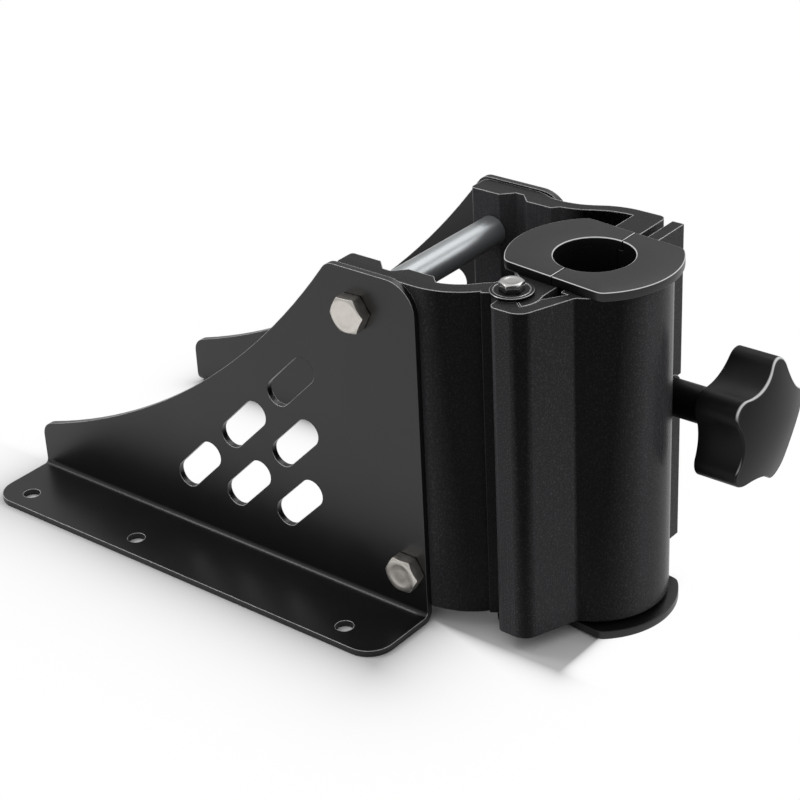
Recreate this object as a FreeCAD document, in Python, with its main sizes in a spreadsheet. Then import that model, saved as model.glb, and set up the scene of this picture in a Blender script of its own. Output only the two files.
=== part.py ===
import FreeCAD, Part
import math
import os
import re
import Sketcher

# Trolling motor mount: two sheet brackets carry an extruded channel, and a hinged extrusion
# clamps the motor's shaft against it, between two bushing halves.
#
# Millimetres, +Z up. The origin is the centre of the four outer deck holes, on the deck face.
# +X points outboard, towards the clamp. The channel's mid-plane is Y = 0.
# The extrusions, the hinge and the bushings are drawn about the axis of the motor's shaft,
# which stands at clamp_x, clamp_y.

SIZES = [
    ("clamp_x", 146.0, "shaft axis, outboard of the deck holes' centre"),
    ("clamp_y", 3.2, "shaft axis, off the channel's mid-plane"),
    ("plate", 2.5, "bracket sheet"),
    ("bend_inner", 2.0, "inner radius of the bracket's bend"),
    ("flange_width", 34.3, "deck flange, from the web's inner face"),
    ("inboard", 98.0, "bracket, inboard of the origin"),
    ("outboard", 106.0, "bracket, outboard of the origin"),
    ("web_height", 137.3, "top of the web"),
    ("toe_height", 21.1, "web at its inboard end"),
    ("brow_x", 67.0, "where the web's curved edge meets its top"),
    ("web_arc", 317.0, "radius of the web's curved edge"),
    ("toe_round", 7.0, "web corner, inboard"),
    ("brow_round", 6.0, "web corner, where the curve ends"),
    ("heel_round", 12.0, "web corner, top outboard"),
    ("flange_round", 10.5, "deck flange corners"),
    ("slot_width", 11.0, "web slots"),
    ("slot_rise", 13.0, "web slots, between the ends' centres, along X and Z alike"),
    ("slot_pitch", 26.0, "web slots, from one to the next"),
    ("slot_x", 45.7, "outboard column of slots"),
    ("slot_z", 31.2, "lowest row of slots"),
    ("deck_hole", 7.0, "deck holes, across"),
    ("deck_span", 168.6, "outer deck holes, along X"),
    ("deck_row", 140.0, "deck holes, across Y"),
    ("deck_middle", 23.5, "middle deck holes, inboard of the origin"),
    ("channel_lift", 6.2, "underside of the extrusions above the deck"),
    ("channel_height", 130.3, "length of the extrusions"),
    ("channel_half", 45.2, "half the channel's outside width"),
    ("arm_reach", 77.2, "channel arms, from the shaft axis inboard"),
    ("land", 10.0, "channel arms where the cross rods are bolted"),
    ("wall", 5.5, "channel arms elsewhere"),
    ("front_land", 13.2, "length of the front land"),
    ("rear_land_from", 51.5, "rear land, its inboard end"),
    ("rear_land_to", 40.5, "rear land, its outboard end"),
    ("arm_round", 2.7, "channel arms, outer front corners"),
    ("rear_wall", 11.2, "channel's rear wall"),
    ("rear_round", 3.0, "channel's outboard far corner"),
    ("split_gap", 0.3, "rear wall, short of the shaft axis"),
    ("curl_start", 42.0, "near arm, where it starts to curl"),
    ("curl_round", 30.2, "near arm, outer radius of the curl"),
    ("curl_wall", 6.2, "near arm, thickness of the curl"),
    ("curl_end", 30.0, "near arm, outside meets the ring, degrees below +X"),
    ("curl_inner_end", 38.0, "near arm, inside meets the ring, degrees below +X"),
    ("curl_land", 0.16, "near arm, straight land inside the curl, share of its radius"),
    ("dip", 2.7, "far arm, how far it dips inwards"),
    ("dip_from", 54.0, "far arm, where the dip starts"),
    ("dip_to", 42.0, "far arm, the dip's lowest point"),
    ("swell", 8.2, "far arm, rise from the dip to the rear wall"),
    ("swell_wall", 5.0, "far arm, thickness from the dip on"),
    ("hinge_x", 10.3, "hinge axis, inboard of the shaft axis"),
    ("hinge_y", 34.5, "hinge axis, nearer than the shaft axis"),
    ("bead", 7.1, "radius of the door's hinge bead"),
    ("running_fit", 0.08, "bead in its ring, and stud in the insert, radial"),
    ("ring_wall", 3.52, "wall of the hinge ring"),
    ("ring_back", 140.0, "ring, where the curl's inside joins it, degrees above +X"),
    ("ring_lip", 38.0, "ring opening, outboard lip below +X, degrees"),
    ("ring_heel", 150.0, "ring opening, inboard end below +X, degrees"),
    ("part_gap", 0.3, "clearance between pieces that pass each other"),
    ("neck_lip", 41.0, "door's neck, outboard face below +X, degrees"),
    ("neck_left", 0.9, "door's neck, inboard face from the hinge axis"),
    ("block_depth", 12.7, "door's near face from the hinge axis"),
    ("block_nose", 12.05, "door's near corner from the hinge axis"),
    ("block_round", 6.5, "door's near outboard corner"),
    ("block_left_round", 2.7, "door's near inboard corner"),
    ("ring_clear", 6.0, "door's hollow round the ring, its end above +X, degrees"),
    ("shell_wall", 6.05, "wall around the bushings"),
    ("shell_from", 69.2, "door's shell, its start below +X, degrees"),
    ("void_edge", 25.2, "hollow behind the door's web, its far edge"),
    ("door_front", 3.2, "door's inner faces, outboard of the shaft axis"),
    ("door_plate", 4.8, "door's clamping plate"),
    ("door_end", 45.5, "end of the clamping plate"),
    ("plate_round", 1.8, "fillet where the plate leaves the shell"),
    ("shaft_bore", 28.8, "bushing bore, across"),
    ("bushing_wall", 7.1, "bushing barrel"),
    ("seat_fit", 0.05, "bushings in their seats, radial"),
    ("bushing_gap", 0.4, "between the bushing halves"),
    ("bushing_flange", 3.4, "bushing flanges, thickness"),
    ("bushing_round", 31.2, "bushing flanges, radius"),
    ("bushing_flat", 23.0, "bushing flanges, flats from the shaft axis"),
    ("bushing_yaw", -5.6, "bushing flanges, turn of the flats, degrees"),
    ("bushing_corner", 5.0, "bushing flanges, where flats and round meet"),
    ("bushing_step", 2.2, "bushing flanges, offset of the split"),
    ("bushing_slack", 2.2, "lower bushing flange below the extrusions"),
    ("bolt_across", 8.0, "frame bolts, thread"),
    ("bolt_flats", 13.0, "frame bolts, across the flats"),
    ("bolt_head", 5.3, "frame bolts, height of the head"),
    ("bolt_length", 25.0, "frame bolts, under the head"),
    ("bolt_room", 0.2, "frame bolts in their holes, radial"),
    ("thread_fit", 0.05, "threads, radial"),
    ("crown", 0.475, "bolt heads, radius of the flat crown, share of the flats"),
    ("crown_slope", 30.0, "bolt heads, slope of the turned corners, degrees"),
    ("tap_spare", 4.0, "tapped holes, deeper than their bolts"),
    ("upper_bolt_in", 10.2, "upper bolts from the front of the arms"),
    ("upper_bolt_down", 15.2, "upper bolts below the top of the channel"),
    ("lower_bolt_x", 48.1, "lower bolts inboard of the shaft axis"),
    ("lower_bolt_up", 14.1, "lower bolts above the channel's underside"),
    ("rod", 12.0, "cross rods, across"),
    ("rod_chamfer", 0.8, "cross rods, end chamfers"),
    ("pin_across", 5.0, "hinge screws, thread"),
    ("pin_flats", 8.0, "hinge screws, across the flats"),
    ("pin_head", 3.3, "hinge screws, height of the head"),
    ("pin_length", 16.0, "hinge screws, under the head"),
    ("pin_washer", 15.6, "hinge washers, across"),
    ("pin_washer_thick", 1.2, "hinge washers"),
    ("knob_y", 36.0, "knob axis, beyond the shaft axis"),
    ("stud_tip", 45.0, "end of the stud, outboard of the shaft axis"),
    ("notch_room", 0.75, "door's notch round the stud"),
    ("knob_washer", 16.0, "washer under the knob, across"),
    ("knob_washer_thick", 1.2, "washer under the knob"),
    ("knob_stem", 14.0, "knob's stem, across"),
    ("knob_stem_long", 23.0, "knob's stem, length"),
    ("knob_thick", 17.0, "knob's head"),
    ("knob_tip", 25.5, "knob's lobes, radius to their tips"),
    ("knob_crown", 4.6, "knob, rise of its domed face above the tips"),
    ("lobe_round", 6.0, "knob's lobes, their own radius"),
    ("valley_round", 22.0, "knob, hollows between the lobes"),
    ("knob_edge", 1.0, "knob, rounding of the front edge"),
    ("knob_turn", 71.0, "knob, a lobe's angle above +Y, degrees"),
    ("insert_across", 10.4, "threaded insert in the stem"),
    ("insert_long", 18.0, "threaded insert, length"),
    ("stud_room", 0.5, "stud in the knob beyond the insert, radial"),
    ("knob_cap", 2.8, "knob's front wall over the stud"),
]

NAMES = {name for name, _, _ in SIZES}
LOBES = 5
SLOT_ROWS = 3
CUTTER_SPARE = 5.0
HERE_TOLERANCE = 0.01

# Faces of the channel, about the shaft axis.
NEAR_OUT = "-(channel_half + clamp_y)"
FAR_OUT = "(channel_half - clamp_y)"
NEAR_IN = f"({NEAR_OUT} + land)"
FAR_IN = f"({FAR_OUT} - land)"
FRONT = "-arm_reach"
FRONT_LAND_END = f"({FRONT} + front_land)"
LAND_STEP = "(land - wall)"
BACK = "-split_gap"
REAR_IN = f"({BACK} - rear_wall)"
CURL_Y = f"({NEAR_OUT} + curl_round)"
HINGE = ("-hinge_x", "-hinge_y")
RING_IN = "(bead + running_fit)"
RING_OUT = f"({RING_IN} + ring_wall)"
DOOR_ROUND_RING = f"({RING_OUT} + part_gap)"
SEAT = "(shaft_bore / 2 + bushing_wall + seat_fit)"
SHELL = f"({SEAT} + shell_wall)"
PLATE_OUT = "(door_front + door_plate)"
BOLT_HOLE = "(bolt_across / 2 + bolt_room)"
UPPER_BOLT_X = f"({FRONT} + upper_bolt_in)"
UPPER_BOLT_Z = "(channel_height - upper_bolt_down)"
KNOB_Z = "channel_height / 2"
STEM_START = f"({PLATE_OUT} + 2 * part_gap + knob_washer_thick)"

# How far the upper bolts' hexagons are turned, as they were left by the spanner.
UPPER_ROLL = -10


def fill_sheet(doc):
    """The driving dimensions, one to a row."""
    sheet = doc.addObject("Spreadsheet::Sheet", "dims")
    for row, (name, size, note) in enumerate(SIZES, 1):
        sheet.set(f"A{row}", note)
        sheet.set(f"B{row}", str(size))
        sheet.setAlias(f"B{row}", name)
    doc.recompute()
    return sheet


def bound(text):
    """An expression in the sheet's names, as the document writes it."""
    return re.sub(r"[a-z_]+", lambda m: "dims." + m.group() if m.group() in NAMES else m.group(), text)


def value(text):
    """The number that such an expression gives now."""
    return float(FreeCAD.ActiveDocument.getObject("dims").evalExpression(bound(text)))


def on_circle(radius, degrees, centre=("0", "0")):
    """A place on a circle, as a pair of expressions."""
    return (f"{centre[0]} + {radius} * cos({degrees})", f"{centre[1]} + {radius} * sin({degrees})")


def new_body(doc, name, x="0", y="0", z="0"):
    body = doc.addObject("PartDesign::Body", name)
    body.Label = name
    for axis, text in zip("xyz", (x, y, z)):
        body.setExpression(f"Placement.Base.{axis}", bound(text))
    return body


def new_sketch(body, name, plane="XY_Plane", lift="0"):
    sketch = body.newObject("Sketcher::SketchObject", name)
    support = next(item for item in body.Origin.OriginFeatures if item.Role == plane)
    sketch.AttachmentSupport = [(support, "")]
    sketch.MapMode = "FlatFace"
    sketch.setExpression("AttachmentOffset.Base.z", bound(lift))
    return sketch


def tie(sketch, kind, *places, size):
    """A dimension of the sketch, bound to the sheet."""
    index = sketch.addConstraint(Sketcher.Constraint(kind, *places, value(size)))
    sketch.setExpression(f"Constraints[{index}]", bound(size))


def arc_between(here, there, radius, turn):
    """The short arc from here to there that turns left or right."""
    chord = there - here
    side = FreeCAD.Vector(-chord.y, chord.x, 0).normalize()
    reach = math.sqrt(max(radius ** 2 - (chord.Length / 2) ** 2, 0))
    centre = (here + there) / 2 + side * (reach if turn == "left" else -reach)
    first, last = (here, there) if turn == "left" else (there, here)
    angles = [math.atan2(spot.y - centre.y, spot.x - centre.x) for spot in (first, last)]
    return Part.ArcOfCircle(Part.Circle(centre, FreeCAD.Vector(0, 0, 1), radius), *angles)


def draw_outline(sketch, corners):
    """A closed outline. A corner is its two coordinates, then, where an arc leads on from it,
    the arc's radius and the way it turns."""
    spots = [FreeCAD.Vector(value(corner[0]), value(corner[1]), 0) for corner in corners]
    first = sketch.GeometryCount
    ends = []
    for index, corner in enumerate(corners):
        here, there = spots[index], spots[(index + 1) % len(spots)]
        if len(corner) == 2:
            sketch.addGeometry(Part.LineSegment(here, there))
            ends.append((1, 2))
        else:
            sketch.addGeometry(arc_between(here, there, value(corner[2]), corner[3]))
            ends.append((1, 2) if corner[3] == "left" else (2, 1))
    for index, corner in enumerate(corners):
        after = (index + 1) % len(corners)
        line = first + index
        sketch.addConstraint(Sketcher.Constraint("Coincident", line, ends[index][1],
                                                 first + after, ends[after][0]))
        tie(sketch, "DistanceX", line, ends[index][0], size=corner[0])
        tie(sketch, "DistanceY", line, ends[index][0], size=corner[1])
        if len(corner) > 2:
            tie(sketch, "Radius", line, size=corner[2])


def draw_circle(sketch, x, y, radius):
    centre = FreeCAD.Vector(value(x), value(y), 0)
    line = sketch.addGeometry(Part.Circle(centre, FreeCAD.Vector(0, 0, 1), value(radius)))
    tie(sketch, "DistanceX", line, 3, size=x)
    tie(sketch, "DistanceY", line, 3, size=y)
    tie(sketch, "Radius", line, size=radius)


def pad(body, name, sketch, length):
    feature = body.newObject("PartDesign::Pad", name)
    feature.Profile = sketch
    feature.setExpression("Length", bound(length))
    body.Document.recompute()
    return feature


def pocket(body, name, sketch, depth=None, upwards=False):
    """Cuts a sketch to a depth, or through everything on both sides."""
    before = body.Tip.Shape.Volume
    feature = body.newObject("PartDesign::Pocket", name)
    feature.Profile = sketch
    if depth is None:
        feature.Type = "ThroughAll"
        feature.SideType = "Symmetric"
    else:
        feature.setExpression("Length", bound(depth))
        feature.Reversed = upwards
    body.Document.recompute()
    if not feature.Shape.Volume < before:
        raise RuntimeError(f"{name} cuts nothing")
    return feature


def edges_at(shape, axis, spots):
    """The straight edges that run along an axis (0, 1 or 2) through spots given in the other two."""
    others = [k for k in range(3) if k != axis]
    places = [tuple(value(text) for text in spot) for spot in spots]
    found = []
    for number, edge in enumerate(shape.Edges, 1):
        if not isinstance(edge.Curve, Part.Line):
            continue
        ends = [vertex.Point for vertex in edge.Vertexes]
        if any(all(abs(end[k] - place[i]) < HERE_TOLERANCE for end in ends for i, k in enumerate(others))
               for place in places):
            found.append(f"Edge{number}")
    return found


def round_edges(body, name, radius, axis, spots):
    """Fillets the straight edges that edges_at finds."""
    base = body.Tip
    names = edges_at(base.Shape, axis, spots)
    if not names:
        raise RuntimeError(f"{name} finds no edge")
    feature = body.newObject("PartDesign::Fillet", name)
    feature.Base = (base, names)
    feature.setExpression("Radius", bound(radius))
    body.Document.recompute()
    return feature


def make_near_bracket(doc):
    """One sheet, bent outwards to a deck flange, with a web cut to a long concave curve."""
    body = new_body(doc, "near_bracket")
    face = "-channel_half"
    outer = f"({face} - plate)"
    rim = f"({face} - flange_width)"
    bend_outer = "(bend_inner + plate)"
    section = new_sketch(body, "bracket_section", "YZ_Plane", "-inboard")
    draw_outline(section, [
        (rim, "0"),
        (f"{face} - {bend_outer}", "0", bend_outer, "left"),
        (face, bend_outer),
        (face, "web_height"),
        (outer, "web_height"),
        (outer, bend_outer, "bend_inner", "right"),
        (f"{outer} - bend_inner", "plate"),
        (rim, "plate"),
    ])
    pad(body, "bracket_fold", section, "inboard + outboard")

    curve = new_sketch(body, "web_curve", "XZ_Plane")
    beyond = f"(-inboard - {CUTTER_SPARE})"
    above = f"(web_height + {CUTTER_SPARE})"
    draw_outline(curve, [
        ("-inboard", "toe_height", "web_arc", "left"),
        ("brow_x", "web_height"),
        ("brow_x", above),
        (beyond, above),
        (beyond, "toe_height"),
    ])
    pocket(body, "web_cut", curve)

    slots = new_sketch(body, "web_slots", "XZ_Plane")
    for row in range(SLOT_ROWS):
        for column in range(SLOT_ROWS - row):
            draw_slot(slots, f"slot_x - {column} * slot_pitch", f"slot_z + {row} * slot_pitch")
    pocket(body, "web_slot_cuts", slots)

    bolts = new_sketch(body, "web_bolt_holes", "XZ_Plane")
    draw_circle(bolts, f"clamp_x + {UPPER_BOLT_X}", f"channel_lift + {UPPER_BOLT_Z}", BOLT_HOLE)
    draw_circle(bolts, "clamp_x - lower_bolt_x", "channel_lift + lower_bolt_up", BOLT_HOLE)
    pocket(body, "web_bolt_cuts", bolts)

    deck = new_sketch(body, "deck_holes")
    for x in ("-deck_span / 2", "-deck_middle", "deck_span / 2"):
        draw_circle(deck, x, "-deck_row / 2", "deck_hole / 2")
    pocket(body, "deck_hole_cuts", deck)

    round_edges(body, "toe", "toe_round", 1, [("-inboard", "toe_height")])
    round_edges(body, "brow", "brow_round", 1, [("brow_x", "web_height")])
    round_edges(body, "heel", "heel_round", 1, [("outboard", "web_height")])
    round_edges(body, "flange_corners", "flange_round", 2, [("-inboard", rim), ("outboard", rim)])
    return body


def draw_slot(sketch, x, z):
    """A round-ended slot that climbs at 45 degrees, its ends drawn as quarter turns."""
    half = "slot_rise / 2"
    radius = "slot_width / 2"
    low = (f"({x} - {half})", f"({z} - {half})")
    high = (f"({x} + {half})", f"({z} + {half})")
    draw_outline(sketch, [
        (*on_circle(radius, 135, low), radius, "left"),
        (*on_circle(radius, 225, low), radius, "left"),
        on_circle(radius, 315, low),
        (*on_circle(radius, 315, high), radius, "left"),
        (*on_circle(radius, 45, high), radius, "left"),
        on_circle(radius, 135, high),
    ])


def make_far_bracket(doc, near):
    """The near bracket's mirror image across the channel's mid-plane."""
    bracket = doc.addObject("Part::Mirroring", "far_bracket")
    bracket.Label = "far_bracket"
    bracket.Source = near
    bracket.Normal = (0, 1, 0)
    return bracket


def wave(run, rise):
    """Radius of the two equal arcs that lead from level to level over a run and a rise."""
    return f"(({run} / 2)^2 + ({rise} / 2)^2) / {rise}"


def make_channel(doc):
    """The extruded channel: two arms with lands for the cross rods, a rear wall with half the
    bushings' seat, and the C-shaped ring that holds the door's bead."""
    body = new_body(doc, "channel", "clamp_x", "clamp_y", "channel_lift")
    dip_y = f"({FAR_OUT} - dip)"
    swell_y = f"({dip_y} + swell)"
    dip_run = "(dip_from - dip_to)"
    swell_run = f"(dip_to + {REAR_IN})"
    swell_mid_x = f"(-dip_to + {swell_run} / 2)"
    swell_radius = wave(swell_run, "swell")
    dip_radius = wave(dip_run, "dip")
    dip_corner_x = f"(-rear_land_to + {LAND_STEP} / 2)"
    dip_corner_y = (f"{dip_y} - swell_wall + {swell_radius}"
                    f" - sqrt(({swell_radius})^2 - ({dip_corner_x} + dip_to)^2)")
    curl_in = "(curl_round - curl_wall)"
    curl = ("-curl_start", CURL_Y)
    curl_corner_x = "(-curl_start + curl_round * curl_land)"
    curl_corner_y = f"{CURL_Y} - sqrt({curl_in}^2 - ({curl_corner_x} + curl_start)^2)"
    in_ring = f"({RING_IN} + ring_wall / 2)"
    section = new_sketch(body, "channel_section")
    draw_outline(section, [
        (FRONT, NEAR_OUT),
        ("-curl_start", NEAR_OUT, "curl_round", "left"),
        on_circle("curl_round", "-curl_end", curl),
        HINGE,
        (BACK, "-hinge_y + bead / 4"),
        (BACK, swell_y),
        (REAR_IN, swell_y, swell_radius, "left"),
        (swell_mid_x, f"{dip_y} + swell / 2", swell_radius, "right"),
        ("-dip_to", dip_y, dip_radius, "right"),
        (f"-dip_to - {dip_run} / 2", f"{dip_y} + dip / 2", dip_radius, "left"),
        ("-dip_from", FAR_OUT),
        (FRONT, FAR_OUT),
        (FRONT, FAR_IN),
        (FRONT_LAND_END, FAR_IN),
        (f"{FRONT_LAND_END} + {LAND_STEP}", f"{FAR_IN} + {LAND_STEP}"),
        (f"-rear_land_from - {LAND_STEP}", f"{FAR_IN} + {LAND_STEP}"),
        ("-rear_land_from", FAR_IN),
        ("-rear_land_to", FAR_IN),
        (dip_corner_x, dip_corner_y, swell_radius, "left"),
        (swell_mid_x, f"{dip_y} + swell / 2 - swell_wall", swell_radius, "right"),
        (REAR_IN, f"{swell_y} - swell_wall"),
        (REAR_IN, "-hinge_y + bead / 2"),
        on_circle(in_ring, "ring_back", HINGE),
        (*on_circle(curl_in, "-curl_inner_end", curl), curl_in, "right"),
        (curl_corner_x, curl_corner_y),
        ("-rear_land_to", NEAR_IN),
        ("-rear_land_from", NEAR_IN),
        (f"-rear_land_from - {LAND_STEP}", f"{NEAR_IN} - {LAND_STEP}"),
        (f"{FRONT_LAND_END} + {LAND_STEP}", f"{NEAR_IN} - {LAND_STEP}"),
        (FRONT_LAND_END, NEAR_IN),
        (FRONT, NEAR_IN),
    ])
    pad(body, "channel_walls", section, "channel_height")

    bulge = new_sketch(body, "seat_bulge")
    bulge_y = f"sqrt({SHELL}^2 - split_gap^2)"
    draw_outline(bulge, [
        (BACK, bulge_y, SHELL, "left"),
        (f"-{SHELL}", "0", SHELL, "left"),
        (BACK, f"-{bulge_y}"),
    ])
    pad(body, "seat_back", bulge, "channel_height")

    ring = new_sketch(body, "hinge_ring")
    draw_circle(ring, *HINGE, RING_OUT)
    pad(body, "ring_wall_pad", ring, "channel_height")

    seat = new_sketch(body, "bushing_seat")
    draw_circle(seat, "0", "0", SEAT)
    pocket(body, "seat_cut", seat)

    bore = new_sketch(body, "ring_bore")
    draw_circle(bore, *HINGE, RING_IN)
    pocket(body, "ring_bore_cut", bore)

    heel = on_circle(RING_OUT, "-ring_heel", HINGE)
    lip = on_circle(f"({RING_OUT} + part_gap)", "-ring_lip", HINGE)
    below = f"(-hinge_y - 2 * {RING_OUT})"
    mouth = new_sketch(body, "ring_mouth")
    draw_outline(mouth, [HINGE, heel, (heel[0], below), (lip[0], below), lip])
    pocket(body, "ring_mouth_cut", mouth)

    holes = new_sketch(body, "rod_bolt_holes", "XZ_Plane")
    draw_circle(holes, UPPER_BOLT_X, UPPER_BOLT_Z, BOLT_HOLE)
    draw_circle(holes, "-lower_bolt_x", "lower_bolt_up", BOLT_HOLE)
    pocket(body, "rod_bolt_cuts", holes)

    tapped = new_sketch(body, "stud_hole", "YZ_Plane", f"{REAR_IN} - part_gap")
    draw_circle(tapped, "knob_y", KNOB_Z, "bolt_across / 2 + thread_fit")
    pocket(body, "stud_cut", tapped, "rear_wall + 2 * part_gap", upwards=True)

    round_edges(body, "arm_fronts", "arm_round", 2, [(FRONT, NEAR_OUT), (FRONT, FAR_OUT)])
    round_edges(body, "rear_corner", "rear_round", 2, [(BACK, swell_y)])
    round_edges(body, "arm_inner_fronts", "arm_round / 2", 2, [(FRONT, NEAR_IN), (FRONT, FAR_IN)])
    return body


def make_door(doc):
    """The hinged extrusion: a bead for the channel's ring, a block and web, the shell that
    holds the outer bushing, and the plate that the knob presses."""
    body = new_body(doc, "clamp_door", "clamp_x", "clamp_y", "channel_lift")
    left = "(-hinge_x - neck_left)"
    low = "(-hinge_y - block_depth)"
    nose = "(-hinge_x + block_nose)"
    shell_start = on_circle(SHELL, "-shell_from")
    plate_root = f"sqrt({SHELL}^2 - {PLATE_OUT}^2)"
    seat_end = f"sqrt({SEAT}^2 - door_front^2)"
    section = new_sketch(body, "door_section")
    draw_outline(section, [
        (left, low),
        (nose, low),
        (*shell_start, SHELL, "left"),
        (PLATE_OUT, plate_root),
        (PLATE_OUT, "door_end"),
        ("door_front", "door_end"),
        ("door_front", seat_end, SEAT, "right"),
        (SEAT, "0", SEAT, "right"),
        ("door_front", f"-{seat_end}"),
        ("door_front", "-void_edge + part_gap"),
        ("door_front + shell_wall / 2", "-void_edge"),
        (*on_circle(DOOR_ROUND_RING, "ring_clear", HINGE), DOOR_ROUND_RING, "right"),
        on_circle(DOOR_ROUND_RING, "-neck_lip", HINGE),
        HINGE,
        (left, "-hinge_y"),
    ])
    pad(body, "door_walls", section, "channel_height")

    bead = new_sketch(body, "hinge_bead", lift="-part_gap")
    draw_circle(bead, *HINGE, "bead")
    pad(body, "bead_pad", bead, "channel_height + 2 * part_gap")

    tap = "pin_across / 2 + thread_fit"
    depth = "pin_length - pin_washer_thick + tap_spare"
    top = new_sketch(body, "top_screw_hole", lift="channel_height + part_gap")
    draw_circle(top, *HINGE, tap)
    pocket(body, "top_screw_cut", top, depth)
    bottom = new_sketch(body, "bottom_screw_hole", lift="-part_gap")
    draw_circle(bottom, *HINGE, tap)
    pocket(body, "bottom_screw_cut", bottom, depth, upwards=True)

    notch = new_sketch(body, "stud_notch", "YZ_Plane", "door_front - part_gap")
    radius = "(bolt_across / 2 + notch_room)"
    end = f"(door_end + {CUTTER_SPARE})"
    draw_outline(notch, [
        (f"knob_y - {radius}", KNOB_Z, radius, "left"),
        ("knob_y", f"{KNOB_Z} - {radius}"),
        (end, f"{KNOB_Z} - {radius}"),
        (end, f"{KNOB_Z} + {radius}"),
        ("knob_y", f"{KNOB_Z} + {radius}", radius, "left"),
    ])
    pocket(body, "stud_notch_cut", notch, "door_plate + 2 * part_gap", upwards=True)

    round_edges(body, "near_corner", "block_round", 2, [(nose, low)])
    round_edges(body, "left_corner", "block_left_round", 2, [(left, low)])
    round_edges(body, "web_to_shell", "rear_round", 2, [shell_start])
    round_edges(body, "plate_to_shell", "plate_round", 2, [(PLATE_OUT, plate_root)])
    return body


def make_bushing(doc, name, turn):
    """Half a bushing with its two flanges. The second half is the same piece turned round."""
    body = new_body(doc, name, "clamp_x", "clamp_y", "channel_lift - bushing_slack - bushing_flange")
    body.Placement.Rotation = FreeCAD.Rotation(FreeCAD.Vector(0, 0, 1), turn)
    bore = "(shaft_bore / 2)"
    outer = f"({bore} + bushing_wall)"
    half_gap = "bushing_gap / 2"
    near_split = f"(-bushing_step - {half_gap})"
    far_split = f"(bushing_step - {half_gap})"
    between = "(channel_height + part_gap + bushing_slack)"

    def draw_half_ring(sketch, near_x, far_x):
        draw_outline(sketch, [
            (near_x, f"-sqrt({bore}^2 - ({near_x})^2)"),
            (near_x, f"-sqrt({outer}^2 - ({near_x})^2)", outer, "right"),
            (f"-{outer}", "0", outer, "right"),
            (far_x, f"sqrt({outer}^2 - ({far_x})^2)"),
            (far_x, f"sqrt({bore}^2 - ({far_x})^2)", bore, "left"),
            (f"-{bore}", "0", bore, "left"),
        ])

    slope = "sin(bushing_yaw)"
    level = "cos(bushing_yaw)"
    along = "sqrt(bushing_round^2 - bushing_flat^2)"
    near_end = (f"bushing_flat * {slope} - {along} * {level}",
                f"-bushing_flat * {level} - {along} * {slope}")
    far_end = (f"-bushing_flat * {slope} - {along} * {level}",
               f"bushing_flat * {level} - {along} * {slope}")

    def draw_half_flange(sketch):
        draw_outline(sketch, [
            (near_split, f"-sqrt({bore}^2 - {near_split}^2)"),
            (near_split, f"({near_split} * {slope} - bushing_flat) / {level}"),
            (*near_end, "bushing_round", "right"),
            far_end,
            (far_split, f"({far_split} * {slope} + bushing_flat) / {level}"),
            (far_split, f"sqrt({bore}^2 - {far_split}^2)", bore, "left"),
            (f"-{bore}", "0", bore, "left"),
        ])

    lower = new_sketch(body, "lower_flange")
    draw_half_flange(lower)
    pad(body, "lower_flange_pad", lower, "bushing_flange")
    neck = new_sketch(body, "barrel_neck", lift="bushing_flange")
    draw_half_ring(neck, near_split, f"-{half_gap}")
    pad(body, "barrel_neck_pad", neck, between)
    barrel = new_sketch(body, "barrel", lift="bushing_flange + part_gap")
    draw_half_ring(barrel, f"-{half_gap}", f"-{half_gap}")
    pad(body, "barrel_pad", barrel, f"{between} - 2 * part_gap")
    upper = new_sketch(body, "upper_flange", lift=f"bushing_flange + {between}")
    draw_half_flange(upper)
    pad(body, "upper_flange_pad", upper, "bushing_flange")
    round_edges(body, "flange_corners", "bushing_corner", 2, [near_end, far_end])
    return body


def new_part(doc, kind, name, **sizes):
    """A primitive whose sizes are bound to the sheet."""
    item = doc.addObject(f"Part::{kind}", name)
    for key, text in sizes.items():
        item.setExpression(key, bound(text))
    return item


def combine(doc, kind, name, base, tool):
    item = doc.addObject(f"Part::{kind}", name)
    item.Base = base
    item.Tool = tool
    return item


def place(item, x, y, z, rotation=None):
    """Sets a piece's turn, and binds its place to the sheet."""
    if rotation:
        item.Placement.Rotation = rotation
    for axis, text in zip("xyz", (x, y, z)):
        item.setExpression(f"Placement.Base.{axis}", bound(text))
    return item


def make_bolt(doc, name, size):
    """A hexagon-head bolt along +Z, its head standing on Z = 0 and its shank below."""
    flats, head, across, length = (f"{size}_{key}" for key in ("flats", "head", "across", "length"))
    top = f"({flats} * crown)"
    hexagon = new_part(doc, "Prism", f"{name}_hexagon", Circumradius=f"{flats} / sqrt(3)", Height=head)
    hexagon.Polygon = 6
    bevel = new_part(doc, "Cone", f"{name}_bevel", Radius1=f"{top} + {head} / tan(crown_slope)",
                     Radius2=top, Height=head)
    shaped = combine(doc, "Common", f"{name}_head", hexagon, bevel)
    shank = new_part(doc, "Cylinder", f"{name}_shank", Radius=f"{across} / 2", Height=length)
    place(shank, "0", "0", f"-{length}")
    bolt = combine(doc, "Fuse", name, shaped, shank)
    bolt.Label = name
    return bolt


def make_frame_bolts(doc):
    """Two bolts on each side, through web and channel into the rods' ends."""
    bolts = []
    for side, sign, turn in (("near", "-", 90), ("far", "", -90)):
        face = f"{sign}(channel_half + plate)"
        for level, x, z, roll in (("upper", UPPER_BOLT_X, UPPER_BOLT_Z, UPPER_ROLL),
                                  ("lower", "-lower_bolt_x", "lower_bolt_up", 0)):
            bolt = make_bolt(doc, f"{side}_{level}_bolt", "bolt")
            rotation = FreeCAD.Rotation(FreeCAD.Vector(1, 0, 0), turn)
            rotation = rotation.multiply(FreeCAD.Rotation(FreeCAD.Vector(0, 0, 1), roll))
            place(bolt, f"clamp_x + {x}", face, f"channel_lift + {z}", rotation)
            bolts.append(bolt)
    return bolts


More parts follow.
